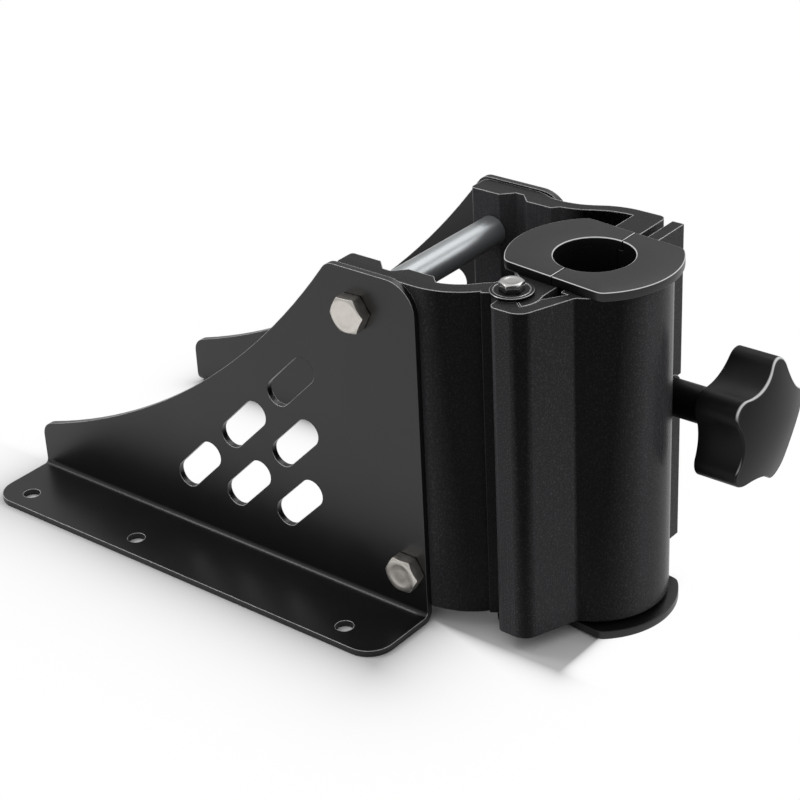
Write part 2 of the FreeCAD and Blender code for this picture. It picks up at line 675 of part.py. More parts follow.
def make_cross_rod(doc, level, x, z):
    """A rod that spans the channel between its lands, drilled and tapped at both ends."""
    name = f"{level}_cross_rod"
    long = "(2 * (channel_half - land))"
    depth = "(bolt_length - plate - land + tap_spare)"
    bar = new_part(doc, "Cylinder", f"{level}_bar", Radius="rod / 2", Height=long)
    for end, lift in (("first", "0"), ("last", f"{long} - {depth}")):
        drill = new_part(doc, "Cylinder", f"{level}_{end}_drill",
                         Radius="bolt_across / 2 + thread_fit", Height=depth)
        place(drill, "0", "0", lift)
        bar = combine(doc, "Cut", f"{level}_{end}_tapped", bar, drill)
    doc.recompute()
    rod = doc.addObject("Part::Chamfer", name)
    rod.Label = name
    rod.Base = bar
    size = value("rod_chamfer")
    rod.Edges = [(number, size, size) for number, edge in enumerate(bar.Shape.Edges, 1)
                 if isinstance(edge.Curve, Part.Circle) and abs(edge.Curve.Radius - value("rod / 2")) < 1e-6]
    place(rod, f"clamp_x + {x}", "-channel_half + land", f"channel_lift + {z}",
          FreeCAD.Rotation(FreeCAD.Vector(1, 0, 0), -90))
    return rod


def make_washer(doc, name, outer, inner, thick):
    """A flat ring on Z = 0."""
    disc = new_part(doc, "Cylinder", f"{name}_disc", Radius=f"{outer} / 2", Height=thick)
    hole = new_part(doc, "Cylinder", f"{name}_hole", Radius=inner, Height=thick)
    washer = combine(doc, "Cut", name, disc, hole)
    washer.Label = name
    return washer


def make_hinge_ends(doc):
    """The screw and washer that close the hinge at the top, and at the bottom."""
    pieces = []
    x, y = "clamp_x - hinge_x", "clamp_y - hinge_y"
    for end, face, turn, sign in (("top", "channel_lift + channel_height + part_gap", 0, "+"),
                                  ("bottom", "channel_lift - part_gap", 180, "-")):
        rotation = FreeCAD.Rotation(FreeCAD.Vector(1, 0, 0), turn)
        washer = make_washer(doc, f"hinge_washer_{end}", "pin_washer",
                             "pin_across / 2 + thread_fit", "pin_washer_thick")
        pieces.append(place(washer, x, y, face, rotation))
        bolt = make_bolt(doc, f"hinge_bolt_{end}", "pin")
        pieces.append(place(bolt, x, y, f"{face} {sign} pin_washer_thick", rotation))
    return pieces


def on_knob_axis(item, x):
    """Turns a piece from +Z to +X and sets it on the knob's axis."""
    turn = FreeCAD.Rotation(FreeCAD.Vector(0, 1, 0), 90)
    return place(item, f"clamp_x + {x}", "clamp_y + knob_y", f"channel_lift + {KNOB_Z}", turn)


def make_stud(doc):
    """The threaded stud, screwed into the rear wall."""
    stud = new_part(doc, "Cylinder", "clamp_stud", Radius="bolt_across / 2",
                    Height=f"stud_tip - {REAR_IN}")
    stud.Label = "clamp_stud"
    return on_knob_axis(stud, REAR_IN)


def make_knob(doc):
    """The five-lobed knob and its stem, drawn along +Z from the stem's end."""
    body = new_body(doc, "knob")
    stem = new_sketch(body, "knob_stem_round")
    draw_circle(stem, "0", "0", "knob_stem / 2")
    pad(body, "knob_stem_pad", stem, "knob_stem_long + knob_thick / 2")

    lobe_at = "(knob_tip - lobe_round)"
    step = 360 / LOBES
    half = math.radians(step / 2)
    valley_at = (f"({lobe_at} * {math.cos(half):.6f}"
                 f" + sqrt((lobe_round + valley_round)^2 - ({lobe_at} * {math.sin(half):.6f})^2))")
    share = "(lobe_round / (lobe_round + valley_round))"
    star = new_sketch(body, "knob_star", lift="knob_stem_long")
    corners = []
    for lobe in range(LOBES):
        angle = f"(90 - knob_turn + {step * lobe})"
        for valley, bend in ((f"({angle} - {step / 2})", ("lobe_round", "left")),
                             (f"({angle} + {step / 2})", ("valley_round", "right"))):
            touch = [f"{lobe_at} * {trig}({angle}) * (1 - {share}) + {valley_at} * {trig}({valley}) * {share}"
                     for trig in ("cos", "sin")]
            corners.append((*touch, *bend))
    draw_outline(star, corners)
    pad(body, "knob_head", star, "knob_thick + knob_crown")

    front = "(knob_stem_long + knob_thick)"
    dome_round = "((knob_tip^2 + knob_crown^2) / (2 * knob_crown))"
    beyond = f"(knob_tip + {CUTTER_SPARE})"
    above = f"({front} + knob_crown + {CUTTER_SPARE})"
    dome = new_sketch(body, "knob_dome", "XZ_Plane")
    draw_outline(dome, [
        ("0", f"{front} + knob_crown"),
        ("0", above),
        (beyond, above),
        (beyond, f"{front} + knob_crown - {dome_round} + sqrt({dome_round}^2 - {beyond}^2)",
         dome_round, "left"),
    ])
    groove = body.newObject("PartDesign::Groove", "knob_dome_cut")
    groove.Profile = dome
    groove.ReferenceAxis = (dome, ["V_Axis"])
    doc.recompute()
    round_dome_edge(body)

    socket = new_sketch(body, "insert_socket")
    draw_circle(socket, "0", "0", "insert_across / 2 + thread_fit")
    pocket(body, "insert_socket_cut", socket, "insert_long", upwards=True)
    room = new_sketch(body, "stud_room_round", lift="insert_long")
    draw_circle(room, "0", "0", "bolt_across / 2 + stud_room")
    pocket(body, "stud_room_cut", room, f"{front} - knob_cap - insert_long", upwards=True)
    return on_knob_axis(body, STEM_START)


def round_dome_edge(body):
    """Rounds the rim of the knob's domed face."""
    base = body.Tip
    dome = next(face for face in base.Shape.Faces if isinstance(face.Surface, Part.Sphere))
    names = [f"Edge{number}" for number, edge in enumerate(base.Shape.Edges, 1)
             if any(edge.isSame(rim) for rim in dome.Edges)]
    feature = body.newObject("PartDesign::Fillet", "knob_front_edge")
    feature.Base = (base, names)
    feature.setExpression("Radius", bound("knob_edge"))
    body.Document.recompute()


def make_insert(doc):
    """The threaded sleeve in the end of the knob's stem."""
    insert = make_washer(doc, "knob_insert", "insert_across", "bolt_across / 2 + running_fit",
                         "insert_long")
    return on_knob_axis(insert, STEM_START)


def make_knob_washer(doc):
    """The washer between the stem and the door's plate, which doesn't turn with the knob."""
    washer = make_washer(doc, "knob_washer", "knob_washer", "bolt_across / 2 + running_fit",
                         "knob_washer_thick")
    return on_knob_axis(washer, f"{PLATE_OUT} + part_gap")


def build(doc):
    """Every piece, in the order in which the mount is put together."""
    near = make_near_bracket(doc)
    pieces = [near, make_far_bracket(doc, near), make_channel(doc)]
    pieces.append(make_cross_rod(doc, "upper", UPPER_BOLT_X, UPPER_BOLT_Z))
    pieces.append(make_cross_rod(doc, "lower", "-lower_bolt_x", "lower_bolt_up"))
    pieces += make_frame_bolts(doc)
    pieces.append(make_bushing(doc, "bushing_inner", 0))
    pieces.append(make_door(doc))
    pieces.append(make_bushing(doc, "bushing_outer", 180))
    pieces += make_hinge_ends(doc)
    pieces += [make_stud(doc), make_knob(doc), make_insert(doc), make_knob_washer(doc)]
    return pieces


def export(doc, pieces):
    """Writes each piece to a file of its own, once all of them are sound."""
    doc.recompute()
    for item in doc.Objects:
        if "Invalid" in item.State or "Error" in item.State:
            raise RuntimeError(f"{item.Name} failed: {item.State}")
    for piece in pieces:
        if piece.Shape.isNull() or not piece.Shape.isValid():
            raise RuntimeError(f"{piece.Label} has no sound shape")
    for piece in pieces:
        piece.Shape.exportStep(f"parts/{piece.Label}.step")
        box = piece.Shape.BoundBox
        print(f"{piece.Label}: {len(piece.Shape.Solids)} solid, {piece.Shape.Volume / 1000:.2f} cm3,"
              f" X {box.XMin:.1f} to {box.XMax:.1f}, Y {box.YMin:.1f} to {box.YMax:.1f},"
              f" Z {box.ZMin:.1f} to {box.ZMax:.1f}")


os.makedirs("parts", exist_ok=True)
document = FreeCAD.newDocument("trolling_motor_mount")
fill_sheet(document)
export(document, build(document))
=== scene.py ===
# %% [markdown]
# # A trolling motor mount
# Two folded sheet brackets stand on a boat's deck. Between them sits an extruded channel, and a second
# extrusion, the door, swings on a hinge and clamps the motor's round shaft between two plastic bushings.
# A star knob on a stud pulls the door shut.
# The solids come from the CAD model. This script keeps the sheets and extrusions as they are. It makes the
# turned, moulded and threaded pieces anew, as surfaces worked out with numpy, and gives every piece its
# finish.

# %% The frame from the CAD model
import math

import bmesh
import bpy
import numpy as np
from mathutils import Euler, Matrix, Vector


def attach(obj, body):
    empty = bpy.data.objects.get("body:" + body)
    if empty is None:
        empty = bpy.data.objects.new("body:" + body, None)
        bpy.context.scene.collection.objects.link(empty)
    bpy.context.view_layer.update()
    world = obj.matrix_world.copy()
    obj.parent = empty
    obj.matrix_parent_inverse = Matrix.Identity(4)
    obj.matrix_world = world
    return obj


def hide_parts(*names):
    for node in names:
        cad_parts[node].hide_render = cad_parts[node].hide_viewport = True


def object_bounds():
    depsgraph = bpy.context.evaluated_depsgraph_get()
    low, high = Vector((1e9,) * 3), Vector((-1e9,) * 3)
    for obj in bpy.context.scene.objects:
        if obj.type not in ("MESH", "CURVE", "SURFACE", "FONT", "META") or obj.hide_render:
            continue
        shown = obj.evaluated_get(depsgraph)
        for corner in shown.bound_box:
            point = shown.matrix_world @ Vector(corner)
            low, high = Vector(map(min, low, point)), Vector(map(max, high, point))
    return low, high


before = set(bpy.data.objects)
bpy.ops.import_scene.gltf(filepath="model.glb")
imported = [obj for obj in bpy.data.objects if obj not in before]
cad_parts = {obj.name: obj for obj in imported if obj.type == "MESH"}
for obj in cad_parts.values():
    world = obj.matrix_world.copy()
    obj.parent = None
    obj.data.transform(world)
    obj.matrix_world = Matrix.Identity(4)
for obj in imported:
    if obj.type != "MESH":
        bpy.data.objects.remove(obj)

cad_low, cad_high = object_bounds()
print("CAD box in mm:", [round(v * 1000, 1) for v in (*cad_low, *cad_high)])

# %% [markdown]
# ## Camera
# The photograph looks down on the mount from the hinge side, with a long lens. A long lens keeps the upright
# edges nearly parallel. The camera's place was worked out from corners whose place on the object is known,
# and its own sideways tilt of two and a half degrees goes with that.

# %% Camera
camera_data = bpy.data.cameras.new("camera")
camera_data.lens = 94.794
camera_data.sensor_width = 36.0
camera = bpy.data.objects.new("camera", camera_data)
camera.location = (0.51566, -0.54937, 0.44521)
camera.rotation_euler = Euler([math.radians(v) for v in (61.517, 2.570, 38.394)], "XYZ")
bpy.context.scene.collection.objects.link(camera)
bpy.context.scene.camera = camera
bpy.context.scene.view_settings.view_transform = "Standard"
print("camera at", [round(v, 3) for v in camera.location], "lens", camera_data.lens)

# %% [markdown]
# ## Small helpers for node trees
# A material is a small graph of nodes. Writing each node as one line keeps the recipes short enough to read.
# `add` makes a node and fills in its settings; a value that is another node's output becomes a link.

# %% Helpers for node trees
def give(tree, socket, given):
    """Links another node's output to a socket, or sets the socket to a value. A colour gets its alpha."""
    if isinstance(given, bpy.types.NodeSocket):
        tree.links.new(given, socket)
    elif socket.type == "RGBA":
        socket.default_value = (*given, 1.0)
    else:
        socket.default_value = given


def add(tree, kind, sockets=None, **settings):
    """Adds a node. `settings` are its own options; `sockets` maps an input's name or number to a value
    or to another node's output."""
    made = tree.nodes.new(kind)
    for key, setting in settings.items():
        setattr(made, key, setting)
    for key, given in (sockets or {}).items():
        give(tree, made.inputs[key], given)
    return made


def maths(tree, operation, first, second=0.0):
    """One sum, difference or other operation on two values."""
    return add(tree, "ShaderNodeMath", {0: first, 1: second}, operation=operation).outputs[0]


def product(tree, first, second):
    """first times second."""
    return maths(tree, "MULTIPLY", first, second)


def spread(tree, value, low, high, to_low=0.0, to_high=1.0):
    """Maps a range of values to another range, clamped at both ends."""
    return add(tree, "ShaderNodeMapRange", {"Value": value, "From Min": low, "From Max": high,
                                            "To Min": to_low, "To Max": to_high}).outputs["Result"]


def noise(tree, place, scale, detail=2.0, roughness=0.5):
    """Soft random ripples between 0 and 1, about `scale` of them to one unit of `place`. `detail` counts
    the finer layers on top, and `roughness` says how strong these are."""
    return add(tree, "ShaderNodeTexNoise", {"Vector": place, "Scale": scale, "Detail": detail,
                                            "Roughness": roughness}).outputs["Fac"]


def parts(tree, vector):
    """A vector's X, Y and Z, by name."""
    return add(tree, "ShaderNodeSeparateXYZ", {0: vector}).outputs


print("node helpers ready")

# %% [markdown]
# Colours are laid over each other like coats of paint. A coat has a mask, which says where it lies, a
# strength and a tone. An effect that several finishes share becomes a node group with named sockets.

# %% Helpers for coats and groups
def blend_colour(tree, share, first, second):
    """first (1 - share) + second share."""
    mix = add(tree, "ShaderNodeMix", {"Factor": share}, data_type="RGBA")
    for socket, given in zip([s for s in mix.inputs if s.type == "RGBA"], (first, second)):
        give(tree, socket, given)
    return next(s for s in mix.outputs if s.type == "RGBA")


def coats(tree, colour, *layers):
    """Lays coats over a colour, one after the other, each (mask, strength, tone)."""
    for mask, strength, tone in layers:
        share = mask if strength == 1 else product(tree, mask, strength)
        colour = blend_colour(tree, share, colour, tone)
    return colour


def new_group(name, inputs, outputs):
    """An empty shader node group and the sockets of its two end nodes. `inputs` maps a name to a number, or
    to None for a vector. `outputs` are names; Normal is a vector, and the others are numbers."""
    group = bpy.data.node_groups.new(name, "ShaderNodeTree")
    for label, number in inputs.items():
        kind = "NodeSocketVector" if number is None else "NodeSocketFloat"
        socket = group.interface.new_socket(label, in_out="INPUT", socket_type=kind)
        if number is not None:
            socket.default_value = number
    for label in outputs:
        kind = "NodeSocketVector" if label == "Normal" else "NodeSocketFloat"
        group.interface.new_socket(label, in_out="OUTPUT", socket_type=kind)
    return group, group.nodes.new("NodeGroupInput").outputs, group.nodes.new("NodeGroupOutput").inputs


def use_group(tree, group, sockets):
    """Puts a shared group into a tree, fills its inputs and gives back its outputs."""
    return add(tree, "ShaderNodeGroup", sockets, node_tree=group).outputs


print("coat and group helpers ready")

# %% [markdown]
# ## Floor
# The photograph has a white ground with a soft shadow close round the mount. The floor is a pale, dull
# surface. Rays from the camera, and rays that glossy surfaces and glass send out, see it mostly as plain
# white where it lies away from the mount, and as real light close to it, so the shadow stays. Its lit grey
# is darker than that white, so the darkening close round the mount is partly real shadow and partly painted
# shade. "Close" is measured from two rectangles, the deck flanges and the clamp, because that is where the
# mount darkens it.

# %% Floor
FADE = 0.015  # metres over which, away from the mount, the floor's real light gives way to plain white
FLANGE_MIDDLE, FLANGE_HALF = (0.004, 0.062), (0.102, 0.0175)  # a deck flange, Y counted from the mid-plane
CLAMP_MIDDLE, CLAMP_HALF = (0.116, -0.0095), (0.047, 0.0355)  # the channel and the door
CLAMP_FADE = 3.4  # the clamp's shadow fades this many times sooner, to match the photograph
NEAR_WEB, BEHIND_FADE = (-0.046, -0.040), 2.5  # behind the near web it fades this many times sooner
HALF_FLOOR, FLOOR_DROP = 4.0, 0.0002


def seen_directly(tree):
    """1 for rays from the camera and for those that mirror-like and clear surfaces send out, else 0."""
    path = add(tree, "ShaderNodeLightPath").outputs
    either = maths(tree, "MAXIMUM", path["Is Camera Ray"], path["Is Glossy Ray"])
    return maths(tree, "MAXIMUM", either, path["Is Transmission Ray"])


def box_distance(tree, x, y, middle, half):
    """Distance to a rectangle on the floor: the length of (max(|x - x0| - a, 0), max(|y - y0| - b, 0))."""
    past = []
    for value, centre, reach in zip((x, y), middle, half):
        off_centre = maths(tree, "ABSOLUTE", maths(tree, "SUBTRACT", value, centre))
        past.append(maths(tree, "MAXIMUM", maths(tree, "SUBTRACT", off_centre, reach), 0.0))
    sides = add(tree, "ShaderNodeCombineXYZ", {"X": past[0], "Y": past[1]}).outputs[0]
    return add(tree, "ShaderNodeVectorMath", {0: sides}, operation="LENGTH").outputs["Value"]


floor_paint = bpy.data.materials.new("floor_paint")
floor_paint.use_nodes = True
tree = floor_paint.node_tree
tree.nodes.clear()
lit = add(tree, "ShaderNodeBsdfDiffuse", {"Color": (0.66, 0.66, 0.66)})
glow = add(tree, "ShaderNodeEmission", {"Color": (1, 1, 1), "Strength": 1.0})
x, y, _ = parts(tree, add(tree, "ShaderNodeTexCoord").outputs["Object"])
to_flange = box_distance(tree, x, maths(tree, "ABSOLUTE", y), FLANGE_MIDDLE, FLANGE_HALF)
to_clamp = box_distance(tree, x, y, CLAMP_MIDDLE, CLAMP_HALF)
# painted shade: the floor's darker lit grey shows only near the mount, and gives way to plain white further
# off
away = maths(tree, "MINIMUM", to_flange, product(tree, to_clamp, CLAMP_FADE))
away = product(tree, away, spread(tree, y, *NEAR_WEB, 1.0, BEHIND_FADE))
plain = maths(tree, "SUBTRACT", 1.0, maths(tree, "EXPONENT", maths(tree, "DIVIDE", away, -FADE)))
share = product(tree, seen_directly(tree), plain)
both = add(tree, "ShaderNodeMixShader", {0: share, 1: lit.outputs[0], 2: glow.outputs[0]})
add(tree, "ShaderNodeOutputMaterial", {"Surface": both.outputs[0]})

floor_mesh = bpy.data.meshes.new("floor")
floor_mesh.from_pydata([(-HALF_FLOOR, -HALF_FLOOR, 0), (HALF_FLOOR, -HALF_FLOOR, 0),
                        (HALF_FLOOR, HALF_FLOOR, 0), (-HALF_FLOOR, HALF_FLOOR, 0)], [], [(0, 1, 2, 3)])
floor_mesh.materials.append(floor_paint)
floor = bpy.data.objects.new("floor", floor_mesh)
bpy.context.scene.collection.objects.link(floor)
floor.location.z = cad_low.z - FLOOR_DROP
print("floor at", round(floor.location.z, 4), "m")

# %% [markdown]
# ## Light
# The world is a pale dome, brightest overhead, as inside a photographer's light tent: its strength grows
# with the upward share of the direction that is looked in. Black finishes mostly show what they reflect, so
# the dome's own gradient already gives them some shape.

# %% World
world = bpy.data.worlds.new("light_tent")
bpy.context.scene.world = world
world.use_nodes = True
tree = world.node_tree
tree.nodes.clear()
height = parts(tree, add(tree, "ShaderNodeTexCoord").outputs["Generated"])["Z"]
dome = spread(tree, height, -0.05, 0.75, 0.26, 0.86)
tint = add(tree, "ShaderNodeBackground", {"Color": (1, 1, 1), "Strength": dome})
add(tree, "ShaderNodeOutputWorld", {"Surface": tint.outputs[0]})
print("world", world.name)

# %% [markdown]
# Three soft boxes do the rest. One hangs over the mount and a little behind it: it lights the upper faces
# and draws the soft shadow in front. A small one high on the left lights the inside of each bend. One
# behind, on the right, draws the bright band along the upper rod and lights the half-round door's flank.

# %% Lamps
mount_middle = Vector((0.06, 0.0, 0.07))


def soft_box(name, place, width, depth, watts):
    """An area lamp that looks at the middle of the mount."""
    data = bpy.data.lights.new(name, "AREA")
    data.shape = "RECTANGLE"
    data.size, data.size_y = width, depth
    data.energy = watts
    lamp = bpy.data.objects.new(name, data)
    lamp.location = place
    lamp.rotation_euler = (mount_middle - Vector(place)).to_track_quat("-Z", "Y").to_euler()
    bpy.context.scene.collection.objects.link(lamp)
    return lamp


lamps = [
    soft_box("top_box", (0.02, 0.75, 1.00), width=0.7, depth=0.4, watts=1.8),
    soft_box("left_box", (-0.72, -0.28, 1.10), width=0.35, depth=0.35, watts=3.0),
    soft_box("right_box", (0.62, 0.78, 0.58), width=0.7, depth=0.3, watts=1.2),
]
print("lamps:", [lamp.name for lamp in lamps])

# %% [markdown]
# ## Shared effects
# Some things happen on many finishes, so each is a node group that is built once. A group only puts out
# masks, values and normals; the shader itself stays in each material.
# The first is the rounded edge. Nothing real has a knife edge. The Bevel node bends the normal near an edge,
# and how far it bends it away from the true normal tells where the edges are. Several finishes paint a thin
# pale line there, a painted highlight that makes black parts readable. `Painted highlight` is the same mask
# for the upper edges only, where the painted line is brightest.

# %% Group: eased edges
eased_edges, enter, leave = new_group("eased_edges", {"Vector": None, "Radius": 0.0004, "Breakup": 0.4},
                                      ("Edge", "Painted highlight", "Normal"))
tree = eased_edges
bent = add(tree, "ShaderNodeBevel", {"Radius": enter["Radius"]}, samples=6).outputs[0]
true_normal = add(tree, "ShaderNodeNewGeometry").outputs["Normal"]
agree = add(tree, "ShaderNodeVectorMath", {0: bent, 1: true_normal}, operation="DOT_PRODUCT").outputs["Value"]
edge_breaks = product(tree, enter["Breakup"], spread(tree, noise(tree, enter["Vector"], 160.0, 4.0), 0.35, 0.65))
edge = product(tree, spread(tree, agree, 0.997, 0.92), maths(tree, "SUBTRACT", 1.0, edge_breaks))
# upper edges: where the painted highlight is brightest
upward = spread(tree, parts(tree, bent)["Z"], 0.1, 0.45)
give(tree, leave["Edge"], edge)
give(tree, leave["Painted highlight"], product(tree, edge, upward))
give(tree, leave["Normal"], bent)
print("group", eased_edges.name)

# %% [markdown]
# Powder coat melts into a skin with a fine orange-peel texture, and bead-blasted aluminium has a similar
# grain. Both are a fine noise for the height, with a coarser one that clouds the tone a little, and small
# light specks where a grain catches the light.

# %% Group: fine grain
fine_grain, enter, leave = new_group("fine_grain", {"Vector": None, "Grain": 2200.0, "Specks": 0.5},
                                     ("Height", "Speck", "Cloud"))
tree = fine_grain
speck = noise(tree, enter["Vector"], product(tree, enter["Grain"], 0.8))
cloud = noise(tree, enter["Vector"], 45.0, 3.0)
give(tree, leave["Height"], noise(tree, enter["Vector"], enter["Grain"], 3.0, 0.6))
give(tree, leave["Speck"], product(tree, spread(tree, speck, 0.50, 0.72), enter["Specks"]))
give(tree, leave["Cloud"], spread(tree, cloud, 0.3, 0.7))
print("group", fine_grain.name)

# %% [markdown]
# Turned metal carries fine rings from the tool. The pieces below store where each point lies along its
# turned outline in a UV map: across is the turn, up is the distance along the outline in millimetres.
# Noise that is stretched round the turn and tight along the outline gives the rings. Taking the turn's
# sine and cosine closes the pattern where the turn ends.

# %% Group: turning marks
turning_marks, enter, leave = new_group("turning_marks", {"Rings per mm": 6.0, "Waver": 0.6},
                                        ("Height", "Streak"))
tree = turning_marks
across, up, _ = parts(tree, add(tree, "ShaderNodeUVMap", uv_map="turned").outputs[0])
angle = product(tree, across, 2 * math.pi)
spot = add(tree, "ShaderNodeCombineXYZ", {
    "X": product(tree, maths(tree, "COSINE", angle), enter["Waver"]),
    "Y": product(tree, maths(tree, "SINE", angle), enter["Waver"]),
    "Z": product(tree, up, enter["Rings per mm"])}).outputs[0]
rings = noise(tree, spot, 1.0, 3.0, 0.65)
give(tree, leave["Height"], rings)
give(tree, leave["Streak"], spread(tree, rings, 0.32, 0.68))
print("group", turning_marks.name)

# %% [markdown]
# Dust settles only on faces that look up, and thinly on a clean part. The mask is the upward share of the
# normal times a patchy noise.

# %% Group: settled dust
DUST = (0.10, 0.095, 0.09)
settled_dust, enter, leave = new_group("settled_dust", {"Vector": None, "Amount": 0.3}, ("Dust",))
tree = settled_dust
flat_up = spread(tree, parts(tree, add(tree, "ShaderNodeNewGeometry").outputs["Normal"])["Z"], 0.6, 1.0)
drift = spread(tree, noise(tree, enter["Vector"], 220.0, 5.0, 0.7), 0.45, 0.85)
give(tree, leave["Dust"], product(tree, product(tree, flat_up, drift), enter["Amount"]))
print("group", settled_dust.name)

# %% [markdown]
# ## Finishes
# Every finish starts from the same few lines: a Principled shader, the object's own coordinates, and a
# bump whose height is the fine texture and whose base normal is the eased edge. The black skins also share
# the edges, the grain and the dust.

# %% Helpers: start a finish and fill its shader
def start_finish(name):
    """A material with a Principled shader. Gives back the material, its tree, the shader and the
    object coordinates."""
    material = bpy.data.materials.new(name)
    material.use_nodes = True
    made = material.node_tree
    made.nodes.clear()
    shader = add(made, "ShaderNodeBsdfPrincipled")
    add(made, "ShaderNodeOutputMaterial", {"Surface": shader.outputs[0]})
    place = add(made, "ShaderNodeTexCoord").outputs["Object"]
    return material, made, shader, place


def black_skin(tree, place, radius, breakup, grain_size, specks, dust):
    """The edges, the grain and the dust that lie on every black finish."""
    return (use_group(tree, eased_edges, {"Vector": place, "Radius": radius, "Breakup": breakup}),
            use_group(tree, fine_grain, {"Vector": place, "Grain": grain_size, "Specks": specks}),
            use_group(tree, settled_dust, {"Vector": place, "Amount": dust})["Dust"])


def feed(tree, shader, **given):
    """Sets or links the shader's inputs; an underscore in a name stands for a space."""
    for key, what in given.items():
        give(tree, shader.inputs[key.replace("_", " ")], what)


def raised(tree, height, normal, strength, distance):
    """A bump, laid over the eased edge's normal."""
    return add(tree, "ShaderNodeBump", {"Strength": strength, "Distance": distance, "Height": height,
                                        "Normal": normal}).outputs["Normal"]


print("finish helpers ready")

# %% [markdown]
# ### Satin black powder coat
# The brackets are sprayed with powder and baked. The skin is a soft satin black that leans a little
# towards violet in the light, it is slightly glossier along the edges, and it never scratches down to metal
# on a new part. A pale line is painted along the edges as a highlight, near white on the upper ones.

# %% Powder coat
bracket_coat, tree, shader, place = start_finish("powder_coat_satin_black")
edges, grain, dust = black_skin(tree, place, 0.0004, 0.25, 1900.0, 0.5, 0.02)
colour = blend_colour(tree, grain["Cloud"], (0.0022, 0.0020, 0.0024), (0.0032, 0.0029, 0.0034))
# painted highlights: a pale tone along the edges, near white along the upper ones
colour = coats(tree, colour, (grain["Speck"], 0.2, (0.020, 0.018, 0.022)),
               (edges["Edge"], 0.5, (0.06, 0.06, 0.062)), (edges["Painted highlight"], 1, (0.85, 0.85, 0.86)),
               (dust, 1, DUST))
rough = maths(tree, "SUBTRACT", spread(tree, grain["Cloud"], 0.0, 1.0, 0.31, 0.36),
              product(tree, edges["Edge"], 0.16))
feed(tree, shader, Base_Color=colour, Roughness=rough, Specular_IOR_Level=0.5,
     Normal=raised(tree, grain["Height"], edges["Normal"], 0.22, 0.00005))
print("finish", bracket_coat.name)

# %% [markdown]
# ### Bead-blasted black anodising
# The channel and the door are sawn from long extrusions, blasted with fine beads and anodised black. The
# long faces are matt and speckled, with faint die lines along the length. Inside the channel a paler tone
# is painted in as painted light. At a glancing angle a paler tone is painted as a sheen, which draws the
# bright flank of the half-round door. The sawn ends face up and down; they are smoother and keep traces of
# the saw, and a paler tone on them is painted light from above. Pale lines along the edges are painted
# highlights.

# %% Anodised extrusion
# the painted light inside the channel is bounded by these two ranges
PAINTED_INSIDE_Y = 0.0405, 0.0400  # metres from the mid-plane: the mask of the inside rises from 0 to 1 here
PAINTED_INSIDE_X = 0.1165, 0.1080  # and metres outboard, in the same way
extrusion, tree, shader, place = start_finish("anodised_black_extrusion")
edges, grain, dust = black_skin(tree, place, 0.0005, 0.2, 2300.0, 0.7, 0.03)
along_z = add(tree, "ShaderNodeMapping", {"Vector": place, "Scale": (900.0, 900.0, 4.0)}).outputs[0]
die = noise(tree, along_z, 1.0)
across_end = add(tree, "ShaderNodeMapping", {"Vector": place, "Rotation": (0, 0, 0.4),
                                             "Scale": (2600.0, 60.0, 60.0)}).outputs[0]
saw = noise(tree, across_end, 1.0)
upright = parts(tree, add(tree, "ShaderNodeNewGeometry").outputs["Normal"])["Z"]
# the sawn ends: they take the saw marks, and a paler tone painted as light from above
sawn_end_and_painted_light = spread(tree, maths(tree, "ABSOLUTE", upright), 0.7, 0.95)
x, y, _ = parts(tree, place)
# painted light: a paler tone on the faces inside the channel
painted_inside_light = product(tree, spread(tree, maths(tree, "ABSOLUTE", y), *PAINTED_INSIDE_Y), spread(tree, x, *PAINTED_INSIDE_X))
# painted sheen: a paler tone where the surface is seen at a glancing angle
painted_sheen = spread(tree, add(tree, "ShaderNodeLayerWeight", {"Blend": 0.5}).outputs["Facing"], 0.155, 0.34)
sparkle = maths(tree, "ADD", product(tree, maths(tree, "MAXIMUM", painted_inside_light, painted_sheen), 0.75), 0.15)
colour = blend_colour(tree, grain["Cloud"], (0.0014, 0.0013, 0.0015), (0.0022, 0.0020, 0.0023))
# painted light: paler inside, at glancing angles and on the ends; painted highlights along the edges
colour = coats(tree, colour, (painted_sheen, 1, (0.037, 0.035, 0.038)), (painted_inside_light, 1, (0.050, 0.047, 0.051)),
               (grain["Speck"], sparkle, (0.110, 0.105, 0.112)), (sawn_end_and_painted_light, 0.7, (0.022, 0.022, 0.023)),
               (edges["Edge"], 0.3, (0.10, 0.10, 0.104)), (edges["Painted highlight"], 1, (0.92, 0.92, 0.93)),
               (dust, 1, DUST))
rough = maths(tree, "SUBTRACT", spread(tree, die, 0.3, 0.7, 0.25, 0.31), product(tree, edges["Edge"], 0.14))
texture = maths(tree, "ADD", grain["Height"], product(tree, die, 0.12))
texture = maths(tree, "ADD", texture, product(tree, product(tree, saw, sawn_end_and_painted_light), 0.5))
feed(tree, shader, Base_Color=colour, Roughness=rough, Specular_IOR_Level=0.06,
     Normal=raised(tree, texture, edges["Normal"], 0.5, 0.00006))
print("finish", extrusion.name)

# %% [markdown]
# ### Moulded nylon and the knob's plastic
# The bushings are moulded in a hard black nylon with a smooth satin skin. The knob is a softer black
# plastic, spark-textured by its mould, with a slightly polished rim. The attribute "rim", which the pieces
# below store on their points, tells where a rounded edge lies; where that edge looks up, a pale line is
# painted on it as a highlight.

# %% Nylon and knob plastic
CLOUDING = 0.10  # how far the tone wanders to each side


